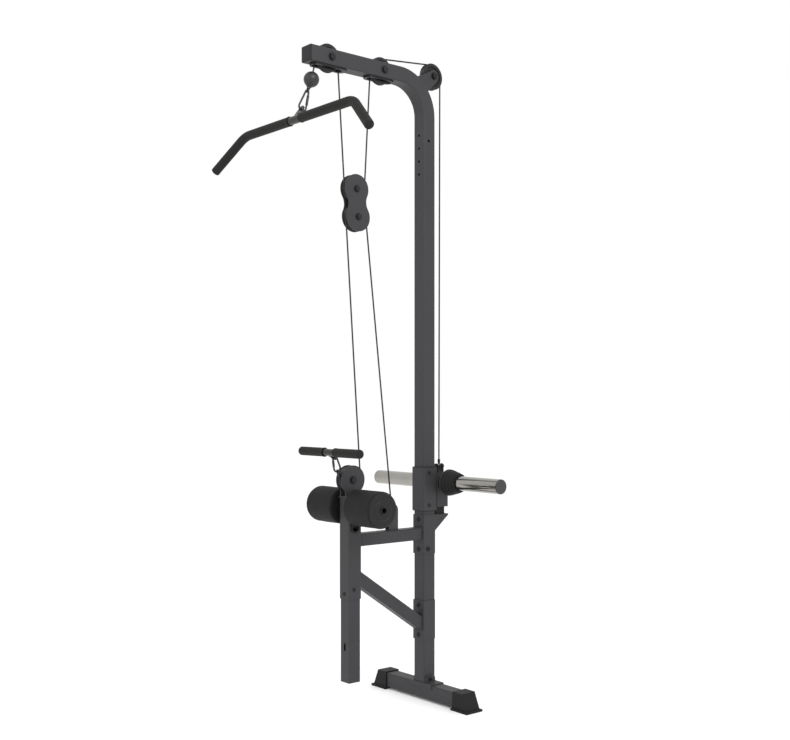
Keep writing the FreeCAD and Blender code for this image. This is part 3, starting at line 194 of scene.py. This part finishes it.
class Shape:
    """Vertices and faces gathered from several closed pieces into one mesh."""

    def __init__(self):
        self.points = []
        self.faces = []

    def loft(self, rings, closed_path=False):
        """Join rings of equal point count in order; a path that isn't closed gets a flat face at each end."""
        base = len(self.points)
        count = len(rings[0])
        for ring in rings:
            self.points.extend(ring)
        spans = len(rings) if closed_path else len(rings) - 1
        for i in range(spans):
            here = base + i * count
            there = base + (i + 1) % len(rings) * count
            for j in range(count):
                k = (j + 1) % count
                self.faces.append((here + j, here + k, there + k, there + j))
        if not closed_path:
            self.faces.append(tuple(base + j for j in reversed(range(count))))
            last = base + (len(rings) - 1) * count
            self.faces.append(tuple(last + j for j in range(count)))

    def make(self, name, slot, body=None, stands_for=(), angle=35.0):
        mesh = bpy.data.meshes.new(name)
        mesh.from_pydata([tuple(point) for point in self.points], [], self.faces)
        mesh.validate()
        mesh.update()
        item = bpy.data.objects.new(name, mesh)
        bpy.context.scene.collection.objects.link(item)
        item.data.materials.append(MATERIALS[slot])
        item.data.shade_smooth()
        item.data.set_sharp_from_angle(angle=math.radians(angle))
        if body:
            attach(item, body)
        if stands_for:
            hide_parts(*stands_for)
        return item


def basis(direction):
    """Two unit vectors square to a direction and to each other, right-handed with it."""
    along = Vector(direction).normalized()
    helper = Vector((1, 0, 0)) if abs(along.x) < 0.8 else Vector((0, 1, 0))
    side = helper.cross(along).normalized()
    return along, side, along.cross(side)


def turned_rings(origin, direction, profile, count, radius_of=None):
    """Rings of a turned piece: profile is (distance along the axis, radius); radius_of reshapes a ring."""
    along, side, other = basis(direction)
    rings = []
    for i, (distance, radius) in enumerate(profile):
        ring = []
        for j in range(count):
            angle = 2 * math.pi * j / count
            r = radius_of(i, radius, angle) if radius_of else radius
            outward = side * math.cos(angle) + other * math.sin(angle)
            ring.append(Vector(origin) + along * distance + outward * r)
        rings.append(ring)
    return rings


def rounded(profile, radius, steps=4):
    """Replace every inner corner of a profile by a short curve of chords."""
    result = [profile[0]]
    for before, corner, after in zip(profile, profile[1:], profile[2:]):
        a, b, c = Vector(before), Vector(corner), Vector(after)
        reach = min(radius, (a - b).length * 0.45, (c - b).length * 0.45)
        start, end = b + (a - b).normalized() * reach, b + (c - b).normalized() * reach
        for k in range(steps + 1):
            t = k / steps
            point = start * (1 - t) ** 2 + b * 2 * t * (1 - t) + end * t ** 2
            result.append((point.x, point.y))
    result.append(profile[-1])
    return result


def hex_radius(corner, angle):
    """Distance from the middle of a hexagon to its edge in a direction; corner is that to its corners."""
    sixth = math.pi / 3
    return corner * math.cos(sixth / 2) / math.cos((angle % sixth) - sixth / 2)


def hex_head(shape, origin, direction, corner, height):
    """A hexagon bolt head or nut with its corners turned off, standing on its washer."""
    washer = [(0, 0.0), (0, corner * 1.22), (0.0006, corner * 1.25), (0.0014, corner * 1.25),
              (0.0018, corner * 1.2)]
    shape.loft(turned_rings(origin, direction, washer + [(0.0018, 0.0)], 48))
    levels = [(0.0018, 0.0), (0.0018, 0.96), (0.0026, 1.0), (height - 0.0016, 1.0), (height, 0.90),
              (height, 0.0)]

    def reshape(index, radius, angle):
        limit = corner * levels[index][1]
        return min(limit, hex_radius(corner * 0.995, angle)) if limit else 0.0

    shape.loft(turned_rings(origin, direction, levels, 60, reshape))


def button_head(shape, origin, direction, radius, height, socket):
    """A domed head with a hexagon socket, standing on a thin washer."""
    washer = [(0, 0.0), (0, radius * 1.22), (0.0004, radius * 1.25), (0.001, radius * 1.25),
              (0.0013, radius * 1.2)]
    shape.loft(turned_rings(origin, direction, washer + [(0.0013, 0.0)], 48))
    profile = [(0.001, 0.0), (0.001, radius)]
    for k in range(1, 8):
        angle = math.radians(12 * k)
        profile.append((0.001 + (height - 0.001) * math.sin(angle), radius * (0.42 + 0.58 * math.cos(angle))))
    first_socket = len(profile)
    profile += [(height, socket), (height - 0.0004, socket * 0.95), (height * 0.45, socket * 0.95),
                (height * 0.4, 0.0)]

    def reshape(index, r, angle):
        return hex_radius(r, angle) if index >= first_socket and r else r

    shape.loft(turned_rings(origin, direction, profile, 60, reshape))


def swept_rings(points, radii, count, closed=False):
    """Rings carried along a line of points without turning; radii is one radius or one per point."""
    total = len(points)
    rings = []
    normal = None
    for i, point in enumerate(points):
        before = points[(i - 1) % total] if closed or i > 0 else points[i]
        after = points[(i + 1) % total] if closed or i < total - 1 else points[i]
        along = (after - before).normalized()
        if normal is None:
            normal = basis(along)[1]
        normal = (normal - along * normal.dot(along)).normalized()
        other = along.cross(normal)
        radius = radii[i] if isinstance(radii, (list, tuple)) else radii
        ring = []
        for j in range(count):
            angle = 2 * math.pi * j / count
            ring.append(point + (normal * math.cos(angle) + other * math.sin(angle)) * radius)
        rings.append(ring)
    return rings


def at(x, y, z):
    """A point given in millimetres from the upright's axis, in the row frame in metres."""
    return Vector((x / 1000, y / 1000 + UPRIGHT_Y, z / 1000))


def line_points(start, end, step):
    count = max(2, int((end - start).length / step) + 1)
    return [start.lerp(end, i / (count - 1)) for i in range(count)]


def arc_points(centre, radius, begin, finish, step):
    """Points on an arc in the YZ plane, angles in radians from +Y towards +Z."""
    count = max(3, int(abs(finish - begin) * radius / step) + 1)
    points = []
    for i in range(count):
        angle = begin + (finish - begin) * i / (count - 1)
        points.append(centre + Vector((0, math.cos(angle), math.sin(angle))) * radius)
    return points


def turn_about_x(point, degrees):
    return Matrix.Rotation(math.radians(degrees), 3, "X") @ Vector(point)


WELD_STEP = 0.0009


def loop_points(half_width, half_height, corner, place):
    """A rounded rectangle of points, each handed to place(u, v)."""
    points = []
    for k, (su, sv) in enumerate(((1, 1), (-1, 1), (-1, -1), (1, -1))):
        for i in range(7):
            angle = math.pi / 2 * (k + i / 6)
            u = su * (half_width - corner) + corner * math.cos(angle)
            v = sv * (half_height - corner) + corner * math.sin(angle)
            points.append(place(u, v))
    dense = []
    for a, b in zip(points, points[1:] + points[:1]):
        dense.extend(line_points(a, b, WELD_STEP)[:-1] if (b - a).length > WELD_STEP else [a])
    return dense


def bead(shape, points, size, closed):
    """A weld bead: a small sweep whose thickness rises and falls along its way."""
    radii = [size * (0.86 + 0.16 * math.cos(2.1 * i) + 0.05 * math.sin(0.37 * i)) for i in range(len(points))]
    shape.loft(swept_rings(points, radii, 8, closed=closed), closed_path=closed)


# ---- cables ----

CABLE_RADIUS = 0.0025
EYE_OFFSET = 0.0075
PITCH = 40.0
BLOCK_TILT = 3.81
HALF_BLOCK = 44.0
LEAN = math.radians(BLOCK_TILT)
BLOCK = (-294.0, 1623.3)
TOP_SHEAVE = (BLOCK[0] - HALF_BLOCK * math.sin(LEAN), BLOCK[1] + HALF_BLOCK * math.cos(LEAN))
BOTTOM_SHEAVE = (BLOCK[0] + HALF_BLOCK * math.sin(LEAN), BLOCK[1] - HALF_BLOCK * math.cos(LEAN))
BALL = (-464.5, 1985.0)
FRONT, SECOND, REAR, LOW = (-404.0, 2062.0), (-193.0, 2062.0), (29.0, 2085.0), (-313.0, 745.0)
CLEVIS, ANCHOR = (65.0, 774.0), (-143.0, 639.0)
LAT_BAR, LOW_BAR = (-523.0, 1852.0), (-393.0, 833.7)
LEG_Y, ROLLER_Z = -313.0, 659.5
POST_Y, POST_Z = 54.3, 722.0
RING_RADIUS, HOOK_WIRE = 5.5, 0.003
FITTING_TILT, RING_DROP = 20.9, 45.0
LAT_HOOK_TILT, LOW_HOOK_TILT = 19.6, 16.0
LAT_HOOK_SPAN, LOW_HOOK_SPAN = 50.4, 36.0
LAT_BAR_TILT, LAT_LUG_TILT, LOW_LUG_TILT, LOW_LUG_REACH = 21.3, 30.5, 42.0, 28.4
LAT_BEND_X = 286.0


def below(start, tilt, distance):
    """A point down from another, leaning forward by some degrees."""
    lean = math.radians(tilt)
    return (start[0] - distance * math.sin(lean), start[1] - distance * math.cos(lean))


RING = below(BALL, FITTING_TILT, RING_DROP)
LUG = below(LOW_BAR, -LOW_LUG_TILT, LOW_LUG_REACH)
LOW_RING = below(LUG, -LOW_HOOK_TILT, LOW_HOOK_SPAN)


def tangent_run(first, second):
    """Ends of the cable between two stops, each (centre, radius, turn), turn +1 anticlockwise."""
    dy, dz = second[0][0] - first[0][0], second[0][1] - first[0][1]
    offset = second[2] * second[1] - first[2] * first[1]
    heading = math.atan2(dz, dy) - math.asin(offset / math.hypot(dy, dz))
    side = (-math.sin(heading), math.cos(heading))
    return [at(0, stop[0][0] - stop[2] * stop[1] * side[0], stop[0][1] - stop[2] * stop[1] * side[1])
            for stop in (first, second)]


def cable_piece(name, points, body=None, bend=None, stands_for=()):
    shape = Shape()
    shape.loft(swept_rings(points, CABLE_RADIUS, 20))
    item = shape.make(name, "cable_coat", body)
    if bend:
        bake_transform(item)
    if stands_for:
        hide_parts(*stands_for)
    return item


def cable_run(name, start, end, fixed, moving, stands_for=()):
    """A straight run between a point on a body that stays and one on a body that moves, baked in place and
    tied to neither.
    """
    points = [start.lerp(end, i / 60) for i in range(61)]
    return cable_piece(name, points, bend=(fixed, moving, start, end), stands_for=stands_for)


def cable_turn(name, stop, start, end, body):
    centre = at(0, *stop[0])
    begin = math.atan2(start.z - centre.z, start.y - centre.y)
    finish = math.atan2(end.z - centre.z, end.y - centre.y)
    sweep = (finish - begin) * stop[2] % (2 * math.pi)
    return cable_piece(name, arc_points(centre, PITCH / 1000, begin, begin + stop[2] * sweep, 0.002), body)


upper_stops = [(BALL, 0.0, 0), (FRONT, PITCH, -1), (TOP_SHEAVE, PITCH, 1), (SECOND, PITCH, -1),
               (REAR, PITCH, -1), (CLEVIS, 0.0, 0)]
upper = [tangent_run(a, b) for a, b in zip(upper_stops, upper_stops[1:])]
cable_run("lat_cable_lead", upper[0][1], upper[0][0], "frame", "lat_cable_end", ["upper_cable_lead"])
cable_turn("front_pulley_cable", upper_stops[1], upper[0][1], upper[1][0], "frame")
cable_run("block_front_strand", upper[1][0], upper[1][1], "frame", "floating_block", ["upper_cable_loop"])
cable_turn("block_top_cable", upper_stops[2], upper[1][1], upper[2][0], "floating_block")
cable_run("block_rear_strand", upper[2][1], upper[2][0], "frame", "floating_block")
cable_turn("second_pulley_cable", upper_stops[3], upper[2][1], upper[3][0], "frame")
cable_piece("arm_cable", line_points(upper[3][0], upper[3][1], 0.02), "frame")
cable_turn("rear_pulley_cable", upper_stops[4], upper[3][1], upper[4][0], "frame")
drop_end = upper[4][1] + Vector((0, 0, EYE_OFFSET))
cable_run("carriage_cable", upper[4][0], drop_end, "frame", "carriage", ["upper_cable_drop"])

lower_stops = [(ANCHOR, 0.0, 0), (BOTTOM_SHEAVE, PITCH, 1), (LOW, PITCH, -1), (LOW_RING, 0.0, 0)]
lower = [tangent_run(a, b) for a, b in zip(lower_stops, lower_stops[1:])]
anchor_heading = (lower[0][1] - lower[0][0]).normalized()
anchor_start = lower[0][0] + anchor_heading * EYE_OFFSET
cable_run("anchor_strand", anchor_start, lower[0][1], "frame", "floating_block", ["lower_cable_loop"])
cable_turn("block_bottom_cable", lower_stops[1], lower[0][1], lower[1][0], "floating_block")
cable_run("low_pulley_strand", lower[1][1], lower[1][0], "frame", "floating_block")
cable_turn("low_pulley_cable", lower_stops[2], lower[1][1], lower[2][0], "frame")
low_heading = (lower[2][1] - lower[2][0]).normalized()
cable_run("low_cable_lead", lower[2][0], lower[2][0] + low_heading * 0.032, "frame", "low_cable_end",
          ["lower_cable_lead"])


def cable_eye(name, centre, heading, square, body):
    """A thimble eye round a bolt, its cable clamped back on itself by a pressed ferrule."""
    across = square.cross(heading).normalized()
    eye_radius, half_turn, steps = 0.0071, 132, 48
    join, half_gap, tip = 0.012, 0.0026, 0.0235
    loop = []
    for i in range(steps + 1):
        angle = math.radians(-half_turn + 2 * half_turn * i / steps) + math.pi
        u, v = eye_radius * math.cos(angle), eye_radius * math.sin(angle)
        loop.append(centre + heading * u + across * v)
    shape = Shape()
    left = line_points(centre + heading * join - across * half_gap, loop[0], 0.001)
    right = line_points(loop[-1], centre + heading * join + across * half_gap, 0.001)
    shape.loft(swept_rings(left[:-1] + loop + right[1:], 0.0021, 14))
    shape.make(name, "cable_coat", body)
    shape = Shape()
    profile = rounded([(0.0105, 0.0), (0.0105, 0.0046), (tip, 0.0046), (tip, 0.0)], 0.0012)
    shape.loft(turned_rings(centre, heading, profile, 36))
    shape.make(name + "_ferrule", "hook_steel", body)


cable_eye("anchor_eye", at(0, *ANCHOR), anchor_heading, Vector((1, 0, 0)), "frame")
cable_eye("clevis_eye", at(0, *CLEVIS), Vector((0, 0, 1)), Vector((0, 1, 0)), "carriage")

# ---- snap hooks ----


def snap_hook(name, start, degrees, top_radius, bottom_radius, distance, body, stands_for):
    """A pear-shaped hook of round wire with a sprung gate, its hinge rivet and its nose."""
    seat = top_radius - RING_RADIUS
    lean = math.asin((bottom_radius - top_radius) / (distance - seat))
    side = (math.cos(lean), math.sin(lean))

    def local(y, z):
        turned = turn_about_x((0, y / 1000, z / 1000), degrees)
        return at(0, *start) + turned

    def arc(centre_z, radius, begin, finish):
        count = max(6, int(abs(finish - begin) * radius / 0.8))
        angles = [begin + (finish - begin) * i / count for i in range(count + 1)]
        return [local(radius * math.cos(angle), centre_z + radius * math.sin(angle)) for angle in angles]

    top = arc(-seat, top_radius, math.pi - lean, lean)
    bottom = arc(-distance, bottom_radius, lean, -math.pi - lean)
    rear_top = local(top_radius * side[0], top_radius * side[1] - seat)
    rear_bottom = local(bottom_radius * side[0], -distance + bottom_radius * side[1])
    front_bottom = local(-bottom_radius * side[0], -distance + bottom_radius * side[1])
    front_top = local(-top_radius * side[0], top_radius * side[1] - seat)
    rear = line_points(rear_top, rear_bottom, 0.0008)
    front = line_points(front_bottom, front_top, 0.0008)
    shape = Shape()
    outline = top + rear[1:-1] + bottom + front[1:-1]
    shape.loft(swept_rings(outline, HOOK_WIRE, 20, closed=True), closed_path=True)
    run = rear_bottom - rear_top
    length = run.length
    gate_end = length * 0.62
    half_gate = [(0, 0.0), (0, 0.0034), (0.0008, 0.0040), (0.004, 0.0041), (0.0044, 0.0036), (0.0052, 0.0036),
                 (0.0056, 0.0041)]
    gate = half_gate + [(gate_end - along, radius) for along, radius in reversed(half_gate)]
    shape.loft(turned_rings(rear_top + run * 0.2, run, gate, 28))
    for share in (0.245, 0.775):
        rivet = rear_top + run * share - Vector((0.0047, 0, 0))
        profile = rounded([(0, 0.0), (0, 0.0014), (0.0094, 0.0014), (0.0094, 0.0)], 0.0005)
        shape.loft(turned_rings(rivet, (1, 0, 0), profile, 16))
    shape.make(name, "hook_steel", body, stands_for)


snap_hook("lat_hook_detail", RING, -LAT_HOOK_TILT, 5.5, 13.0, LAT_HOOK_SPAN, "lat_hook", ["lat_snap_hook"])
snap_hook("low_hook_detail", LOW_RING, 180 + LOW_HOOK_TILT, 12.0, 8.0, LOW_HOOK_SPAN, "low_hook",
          ["low_snap_hook"])

# ---- grips ----


LIP_LENGTH, LIP_RISE, RIB_GAP, RIB_DEPTH = 0.0045, 0.0009, 0.0032, 0.00035
DOME_LENGTH, DOME_DEPTH = 0.005, 0.0032
LAT_GRIP_START, LAT_GRIP_RADIUS = 29, 0.0145
LOW_GRIP_START, LOW_GRIP_END, LOW_GRIP_RADIUS = 27, 155, 0.014
PATH_STEP = 0.8


def grip(shape, points, radius):
    """A rubber grip along a line: a lip at its inner end, shallow ribs, and a domed closed end."""
    total = 0.0
    distances = [0.0]
    for a, b in zip(points, points[1:]):
        total += (b - a).length
        distances.append(total)
    centres, radii = [], []
    for point, distance in zip(points, distances):
        left = total - distance
        size = radius
        if distance < LIP_LENGTH:
            size = radius + LIP_RISE * math.sin(math.pi * min(1.0, (distance + 0.0004) / LIP_LENGTH))
        elif 0.012 < distance and left > 0.014:
            size = radius - RIB_DEPTH * (0.5 - 0.5 * math.cos(2 * math.pi * distance / RIB_GAP))
        if left < DOME_LENGTH:
            size = radius - DOME_DEPTH * (1 - math.sqrt(max(0.0, 1 - (1 - left / DOME_LENGTH) ** 2)))
        centres.append(point)
        radii.append(size)
    shape.loft(swept_rings(centres, radii, 40))


def lat_point(x, drop):
    return at(0, *LAT_BAR) + Vector((x / 1000, 0, 0)) + turn_about_x((0, 0, -drop / 1000), -LAT_BAR_TILT)


def lat_path(start_x, side):
    """Points along one half of the bent bar, from start_x to 3 mm past its end."""
    rise, run, bend = 107.3, 122.0, 70.0
    slope = math.atan2(rise, run)
    setback = bend * math.tan(slope / 2)
    points = []
    x = float(start_x)
    while x < LAT_BEND_X - setback:
        points.append((x, 0.0))
        x += PATH_STEP
    steps = 80
    for i in range(steps + 1):
        angle = slope * i / steps
        points.append((LAT_BEND_X - setback + bend * math.sin(angle), bend * (1 - math.cos(angle))))
    length = math.hypot(rise, run) - setback + 3
    count = int(length / PATH_STEP)
    first = points[-1]
    for i in range(1, count + 1):
        share = length * i / count
        points.append((first[0] + share * math.cos(slope), first[1] + share * math.sin(slope)))
    return [lat_point(side * x, drop) for x, drop in points]


lat_grips = Shape()
for side in (1, -1):
    grip(lat_grips, lat_path(LAT_GRIP_START, side), LAT_GRIP_RADIUS)
lat_grips.make("lat_grip_rubber", "grip_rubber", "lat_bar", ["lat_bar_grips"])

low_grips = Shape()
for side in (1, -1):
    start, end = at(LOW_GRIP_START * side, *LOW_BAR), at(LOW_GRIP_END * side, *LOW_BAR)
    grip(low_grips, line_points(start, end, PATH_STEP / 1000), LOW_GRIP_RADIUS)
low_grips.make("low_grip_rubber", "grip_rubber", "low_handle", ["low_handle_grips"])

# ---- thigh rollers ----

SKIN_WAVE = 0.00022


def foam_roller(name, side, body, stands_for):
    """A foam sleeve with soft ends, a slightly uneven skin and a shallow dip round its hub."""
    start, end = 0.0342, 0.161
    bore, dip, flat, outer = 0.0156, 0.026, 0.040, 0.0574
    profile = [(start + 0.002, bore), (start + 0.0005, dip), (start, flat), (start, outer), (end, outer),
               (end, flat), (end - 0.0005, dip), (end - 0.002, bore)]
    soft = rounded(profile, 0.007, 8)
    dense = []
    for (x0, r0), (x1, r1) in zip(soft, soft[1:]):
        pieces = max(1, int(math.hypot(x1 - x0, r1 - r0) / 0.0035))
        dense += [(x0 + (x1 - x0) * i / pieces, r0 + (r1 - r0) * i / pieces) for i in range(pieces)]
    dense.append(soft[-1])

    def uneven(index, radius, angle):
        if radius < 0.045:
            return radius
        x = dense[index][0]
        wave = math.sin(3 * angle + 40 * x) + 0.6 * math.sin(7 * angle - 95 * x) + 0.4 * math.sin(120 * x)
        return radius + SKIN_WAVE * wave

    shape = Shape()
    rings = turned_rings(at(0, LEG_Y, ROLLER_Z), (side, 0, 0), dense, 128, uneven)
    shape.loft(rings, closed_path=True)
    item = shape.make(name, "roller_foam", body, stands_for, angle=60.0)


foam_roller("right_foam_sleeve", 1, "right_roller", ["right_roller_foam"])
foam_roller("left_foam_sleeve", -1, "left_roller", ["left_roller_foam"])


def bar_end_painted_shade(name, side):
    """A thin black lining over one open end of the roller bar and its cut edge: painted shade that makes the
    bar end read as a dark hole.
    """
    inner_end, bar_end, outer_end = 0.150, 0.1682, 0.1698
    bore, plug, rim = 0.0088, 0.0104, 0.0123
    profile = rounded([(inner_end, plug), (bar_end, plug), (bar_end, rim), (outer_end, rim),
                       (outer_end, bore), (inner_end, bore)], 0.0004)
    shape = Shape()
    shape.loft(turned_rings(at(0, LEG_Y, ROLLER_Z), (side, 0, 0), profile, 48), closed_path=True)
    shape.make(name, "black_plastic", "frame")


# black linings at both bar ends: painted shade that darkens the open ends
bar_end_painted_shade("right_bar_end_painted_shade", 1)
bar_end_painted_shade("left_bar_end_painted_shade", -1)

# ---- bolts, nuts and spacers ----


def shank(shape, origin, direction, radius, length):
    profile = rounded([(0, 0.0), (0, radius), (length, radius), (length, 0.0)], 0.0006)
    shape.loft(turned_rings(origin, direction, profile, 24))


def button_bolt(shape, x, y, z, direction, radius=0.007, height=0.005, depth=0.008):
    button_head(shape, at(x, y, z), direction, radius, height, radius * 0.5)
    shank(shape, at(x, y, z), [-value for value in direction], radius * 0.55, depth)


PLATE_FACE_Y = -28
FLANGE_BOLT_HEIGHTS = (600, 500, 315, 215)
SMALL_BOLT = (0.0052, 0.0032, 0.002)

bolts = Shape()
for height in FLANGE_BOLT_HEIGHTS:
    button_bolt(bolts, 0, PLATE_FACE_Y, height, (0, -1, 0))
button_bolt(bolts, 28, -8, 502, (1, 0, 0))
for side in (1, -1):
    button_bolt(bolts, side * 29.2, 0, 71, (side, 0, 0))
button_bolt(bolts, 25, -317, 400, (1, 0, 0), *SMALL_BOLT)
button_bolt(bolts, 0, -338, 385, (0, -1, 0), *SMALL_BOLT)
hex_head(bolts, at(10, *ANCHOR), (1, 0, 0), 0.0075, 0.0062)
hex_head(bolts, at(-10, *ANCHOR), (-1, 0, 0), 0.0075, 0.0062)
shank(bolts, at(-17, *ANCHOR), (1, 0, 0), 0.004, 0.030)
bolts.make("frame_bolt_detail", "dark_bolts", "frame", ["frame_bolts"])


def axle_set(shape, y, z, spacer_end, seat, head=0.0092):
    """An axle bolt with its nut, both seated at seat, and a spacer on each side that ends at spacer_end."""
    centre = at(0, y, z)
    hex_head(shape, centre + Vector((seat / 1000, 0, 0)), (1, 0, 0), head, 0.0072)
    hex_head(shape, centre - Vector((seat / 1000, 0, 0)), (-1, 0, 0), head, 0.0072)
    shank(shape, centre - Vector(((seat + 9) / 1000, 0, 0)), (1, 0, 0), 0.005, (2 * seat + 9) / 1000)
    for side in (1, -1):
        end = spacer_end / 1000
        profile = rounded([(0.0093, 0.0051), (0.0093, 0.008), (end, 0.008), (end, 0.0051)], 0.0004)
        shape.loft(turned_rings(centre, (side, 0, 0), profile, 32), closed_path=True)


PULLEY_BOLT_HEAD = 0.0105
ARM_AXLE, EAR_AXLE, BRACKET_AXLE, BLOCK_AXLE = (23, 25), (12, 16), (11, 14.5), (10, 13)

axles = Shape()
axle_set(axles, *FRONT, *ARM_AXLE, PULLEY_BOLT_HEAD)
axle_set(axles, *SECOND, *ARM_AXLE, PULLEY_BOLT_HEAD)
axle_set(axles, *REAR, *EAR_AXLE, PULLEY_BOLT_HEAD)
axle_set(axles, *LOW, *BRACKET_AXLE, PULLEY_BOLT_HEAD)
axles.make("pulley_axle_detail", "dark_bolts", "frame", ["pulley_axles"])

block_axles = Shape()
axle_set(block_axles, *TOP_SHEAVE, *BLOCK_AXLE)
axle_set(block_axles, *BOTTOM_SHEAVE, *BLOCK_AXLE)
block_axles.make("block_bolt_detail", "dark_bolts", "floating_block", ["block_bolts"])

carriage_bolts = Shape()
for side in (1, -1):
    for height in (756, 647):
        button_bolt(carriage_bolts, side * 30, -5, height, (side, 0, 0), 0.0055, 0.003, 0.003)
hex_head(carriage_bolts, at(0, CLEVIS[0] - 12, CLEVIS[1]), (0, -1, 0), 0.0075, 0.0062)
hex_head(carriage_bolts, at(0, CLEVIS[0] + 12, CLEVIS[1]), (0, 1, 0), 0.0075, 0.0062)
shank(carriage_bolts, at(0, CLEVIS[0] - 18, CLEVIS[1]), (0, 1, 0), 0.004, 0.037)
carriage_bolts.make("carriage_bolt_detail", "dark_bolts", "carriage", ["carriage_bolts"])

# ---- weld beads ----


def straight_weld(shape, start, end, size):
    bead(shape, line_points(start, end, WELD_STEP), size, False)


WELD_REAR_Y, WELD_FRONT_Y = -28.6, -287.4
STRUT_Z, BRACE_REAR_Z, BRACE_FRONT_Z, BRACE_RUN = 553, 255, 431, 260
LEG_TOP_Z, BRACKET_FOOT_Z = 689.6, 694.4

frame_welds = Shape()
for y, z in ((WELD_REAR_Y, STRUT_Z), (WELD_FRONT_Y, STRUT_Z)):
    end_face = loop_points(0.020, 0.020, 0.004, lambda u, v: at(0, y, z) + Vector((u, 0, v)))
    bead(frame_welds, end_face, 0.0019, True)
brace_slope = math.atan2(BRACE_FRONT_Z - BRACE_REAR_Z, BRACE_RUN)
for y, z in ((WELD_REAR_Y, BRACE_REAR_Z), (WELD_FRONT_Y, BRACE_FRONT_Z)):
    half = 0.020 / math.cos(brace_slope)
    end_face = loop_points(0.020, half, 0.004, lambda u, v: at(0, y, z) + Vector((u, 0, v)))
    bead(frame_welds, end_face, 0.0019, True)
leg_top = loop_points(0.0252, 0.0252, 0.004, lambda u, v: at(0, LEG_Y, LEG_TOP_Z) + Vector((u, v, 0)))
bead(frame_welds, leg_top, 0.0016, True)
for side in (1, -1):
    foot_front, foot_rear = at(side * 15, -342, BRACKET_FOOT_Z), at(side * 15, -284, BRACKET_FOOT_Z)
    straight_weld(frame_welds, foot_front, foot_rear, 0.0016)
    straight_weld(frame_welds, at(side * 10.4, -161, 573.4), at(side * 10.4, -125, 573.4), 0.0016)
    straight_weld(frame_welds, at(side * 25, 25.3, 611), at(side * 25, 25.3, 562), 0.0015)
    bend_centre = at(side * 16.4, -120, 1942)
    bend_line = arc_points(bend_centre, 0.1453, math.radians(39.5), math.radians(58.5), WELD_STEP)
    bead(frame_welds, bend_line, 0.0016, False)
straight_weld(frame_welds, at(-24, 25.3, 614.3), at(24, 25.3, 614.3), 0.0015)
frame_welds.make("frame_welds", "weld_bead", "frame")

carriage_welds = Shape()
for side in (1, -1):
    straight_weld(carriage_welds, at(side * 30, 30, 641), at(side * 30, 30, 750), 0.0015)
    for x in (30.3, 61.6):
        around = [at(side * x, POST_Y + 24.4 * math.cos(a), POST_Z + 24.4 * math.sin(a))
                  for a in [2 * math.pi * i / 160 for i in range(160)]]
        bead(carriage_welds, around, 0.0016, True)
for side in (1, -1):
    straight_weld(carriage_welds, at(side * 11.2, 54, 752.4), at(side * 11.2, 76, 752.4), 0.0013)
carriage_welds.make("carriage_welds", "weld_bead", "carriage")

bar_welds = Shape()
for side in (1, -1):
    start = at(0, *LAT_BAR) + turn_about_x((-0.021, side * 0.0026, 0.0125), -LAT_LUG_TILT)
    end = at(0, *LAT_BAR) + turn_about_x((0.021, side * 0.0026, 0.0125), -LAT_LUG_TILT)
    straight_weld(bar_welds, start, end, 0.0013)
bar_welds.make("lat_lug_welds", "hook_steel", "lat_bar")

handle_welds = Shape()
for side in (1, -1):
    start = at(0, *LOW_BAR) + turn_about_x((-0.021, side * 0.0026, -0.011), LOW_LUG_TILT)
    end = at(0, *LOW_BAR) + turn_about_x((0.021, side * 0.0026, -0.011), LOW_LUG_TILT)
    straight_weld(handle_welds, start, end, 0.0013)
handle_welds.make("low_lug_welds", "hook_steel", "low_handle")

# ---- studio ----

bpy.ops.mesh.primitive_plane_add(size=60.0, location=(0, 0, -0.0002))
floor = bpy.context.object
floor.name = "floor"
floor_material = bpy.data.materials.new("floor")
floor_material.use_nodes = True
floor_shader = floor_material.node_tree.nodes["Principled BSDF"]
floor_shader.inputs["Base Color"].default_value = (0.97, 0.97, 0.97, 1.0)
floor_shader.inputs["Emission Color"].default_value = (1.0, 1.0, 1.0, 1.0)
floor_shader.inputs["Emission Strength"].default_value = 0.06
floor_shader.inputs["Roughness"].default_value = 0.9
floor_shader.inputs["Specular IOR Level"].default_value = 0.1
floor.data.materials.append(floor_material)

world = bpy.data.worlds.new("world")
world.use_nodes = True
world.node_tree.nodes["Background"].inputs["Color"].default_value = (1.0, 1.0, 1.0, 1.0)
world.node_tree.nodes["Background"].inputs["Strength"].default_value = 1.0
bpy.context.scene.world = world


def softbox(name, location, target, size, power):
    data = bpy.data.lights.new(name, "AREA")
    data.shape = "RECTANGLE"
    data.size = size[0]
    data.size_y = size[1]
    data.energy = power
    light = bpy.data.objects.new(name, data)
    light.location = location
    light.rotation_euler = (Vector(target) - Vector(location)).to_track_quat("-Z", "Y").to_euler()
    bpy.context.scene.collection.objects.link(light)


softbox("key", (3.2, -0.6, 3.6), (0.0, 0.0, 0.9), (2.4, 2.4), 70.0)
softbox("fill", (0.4, -4.0, 2.6), (0.0, 0.0, 1.0), (3.0, 3.0), 24.0)

bpy.context.scene.view_settings.view_transform = "Standard"
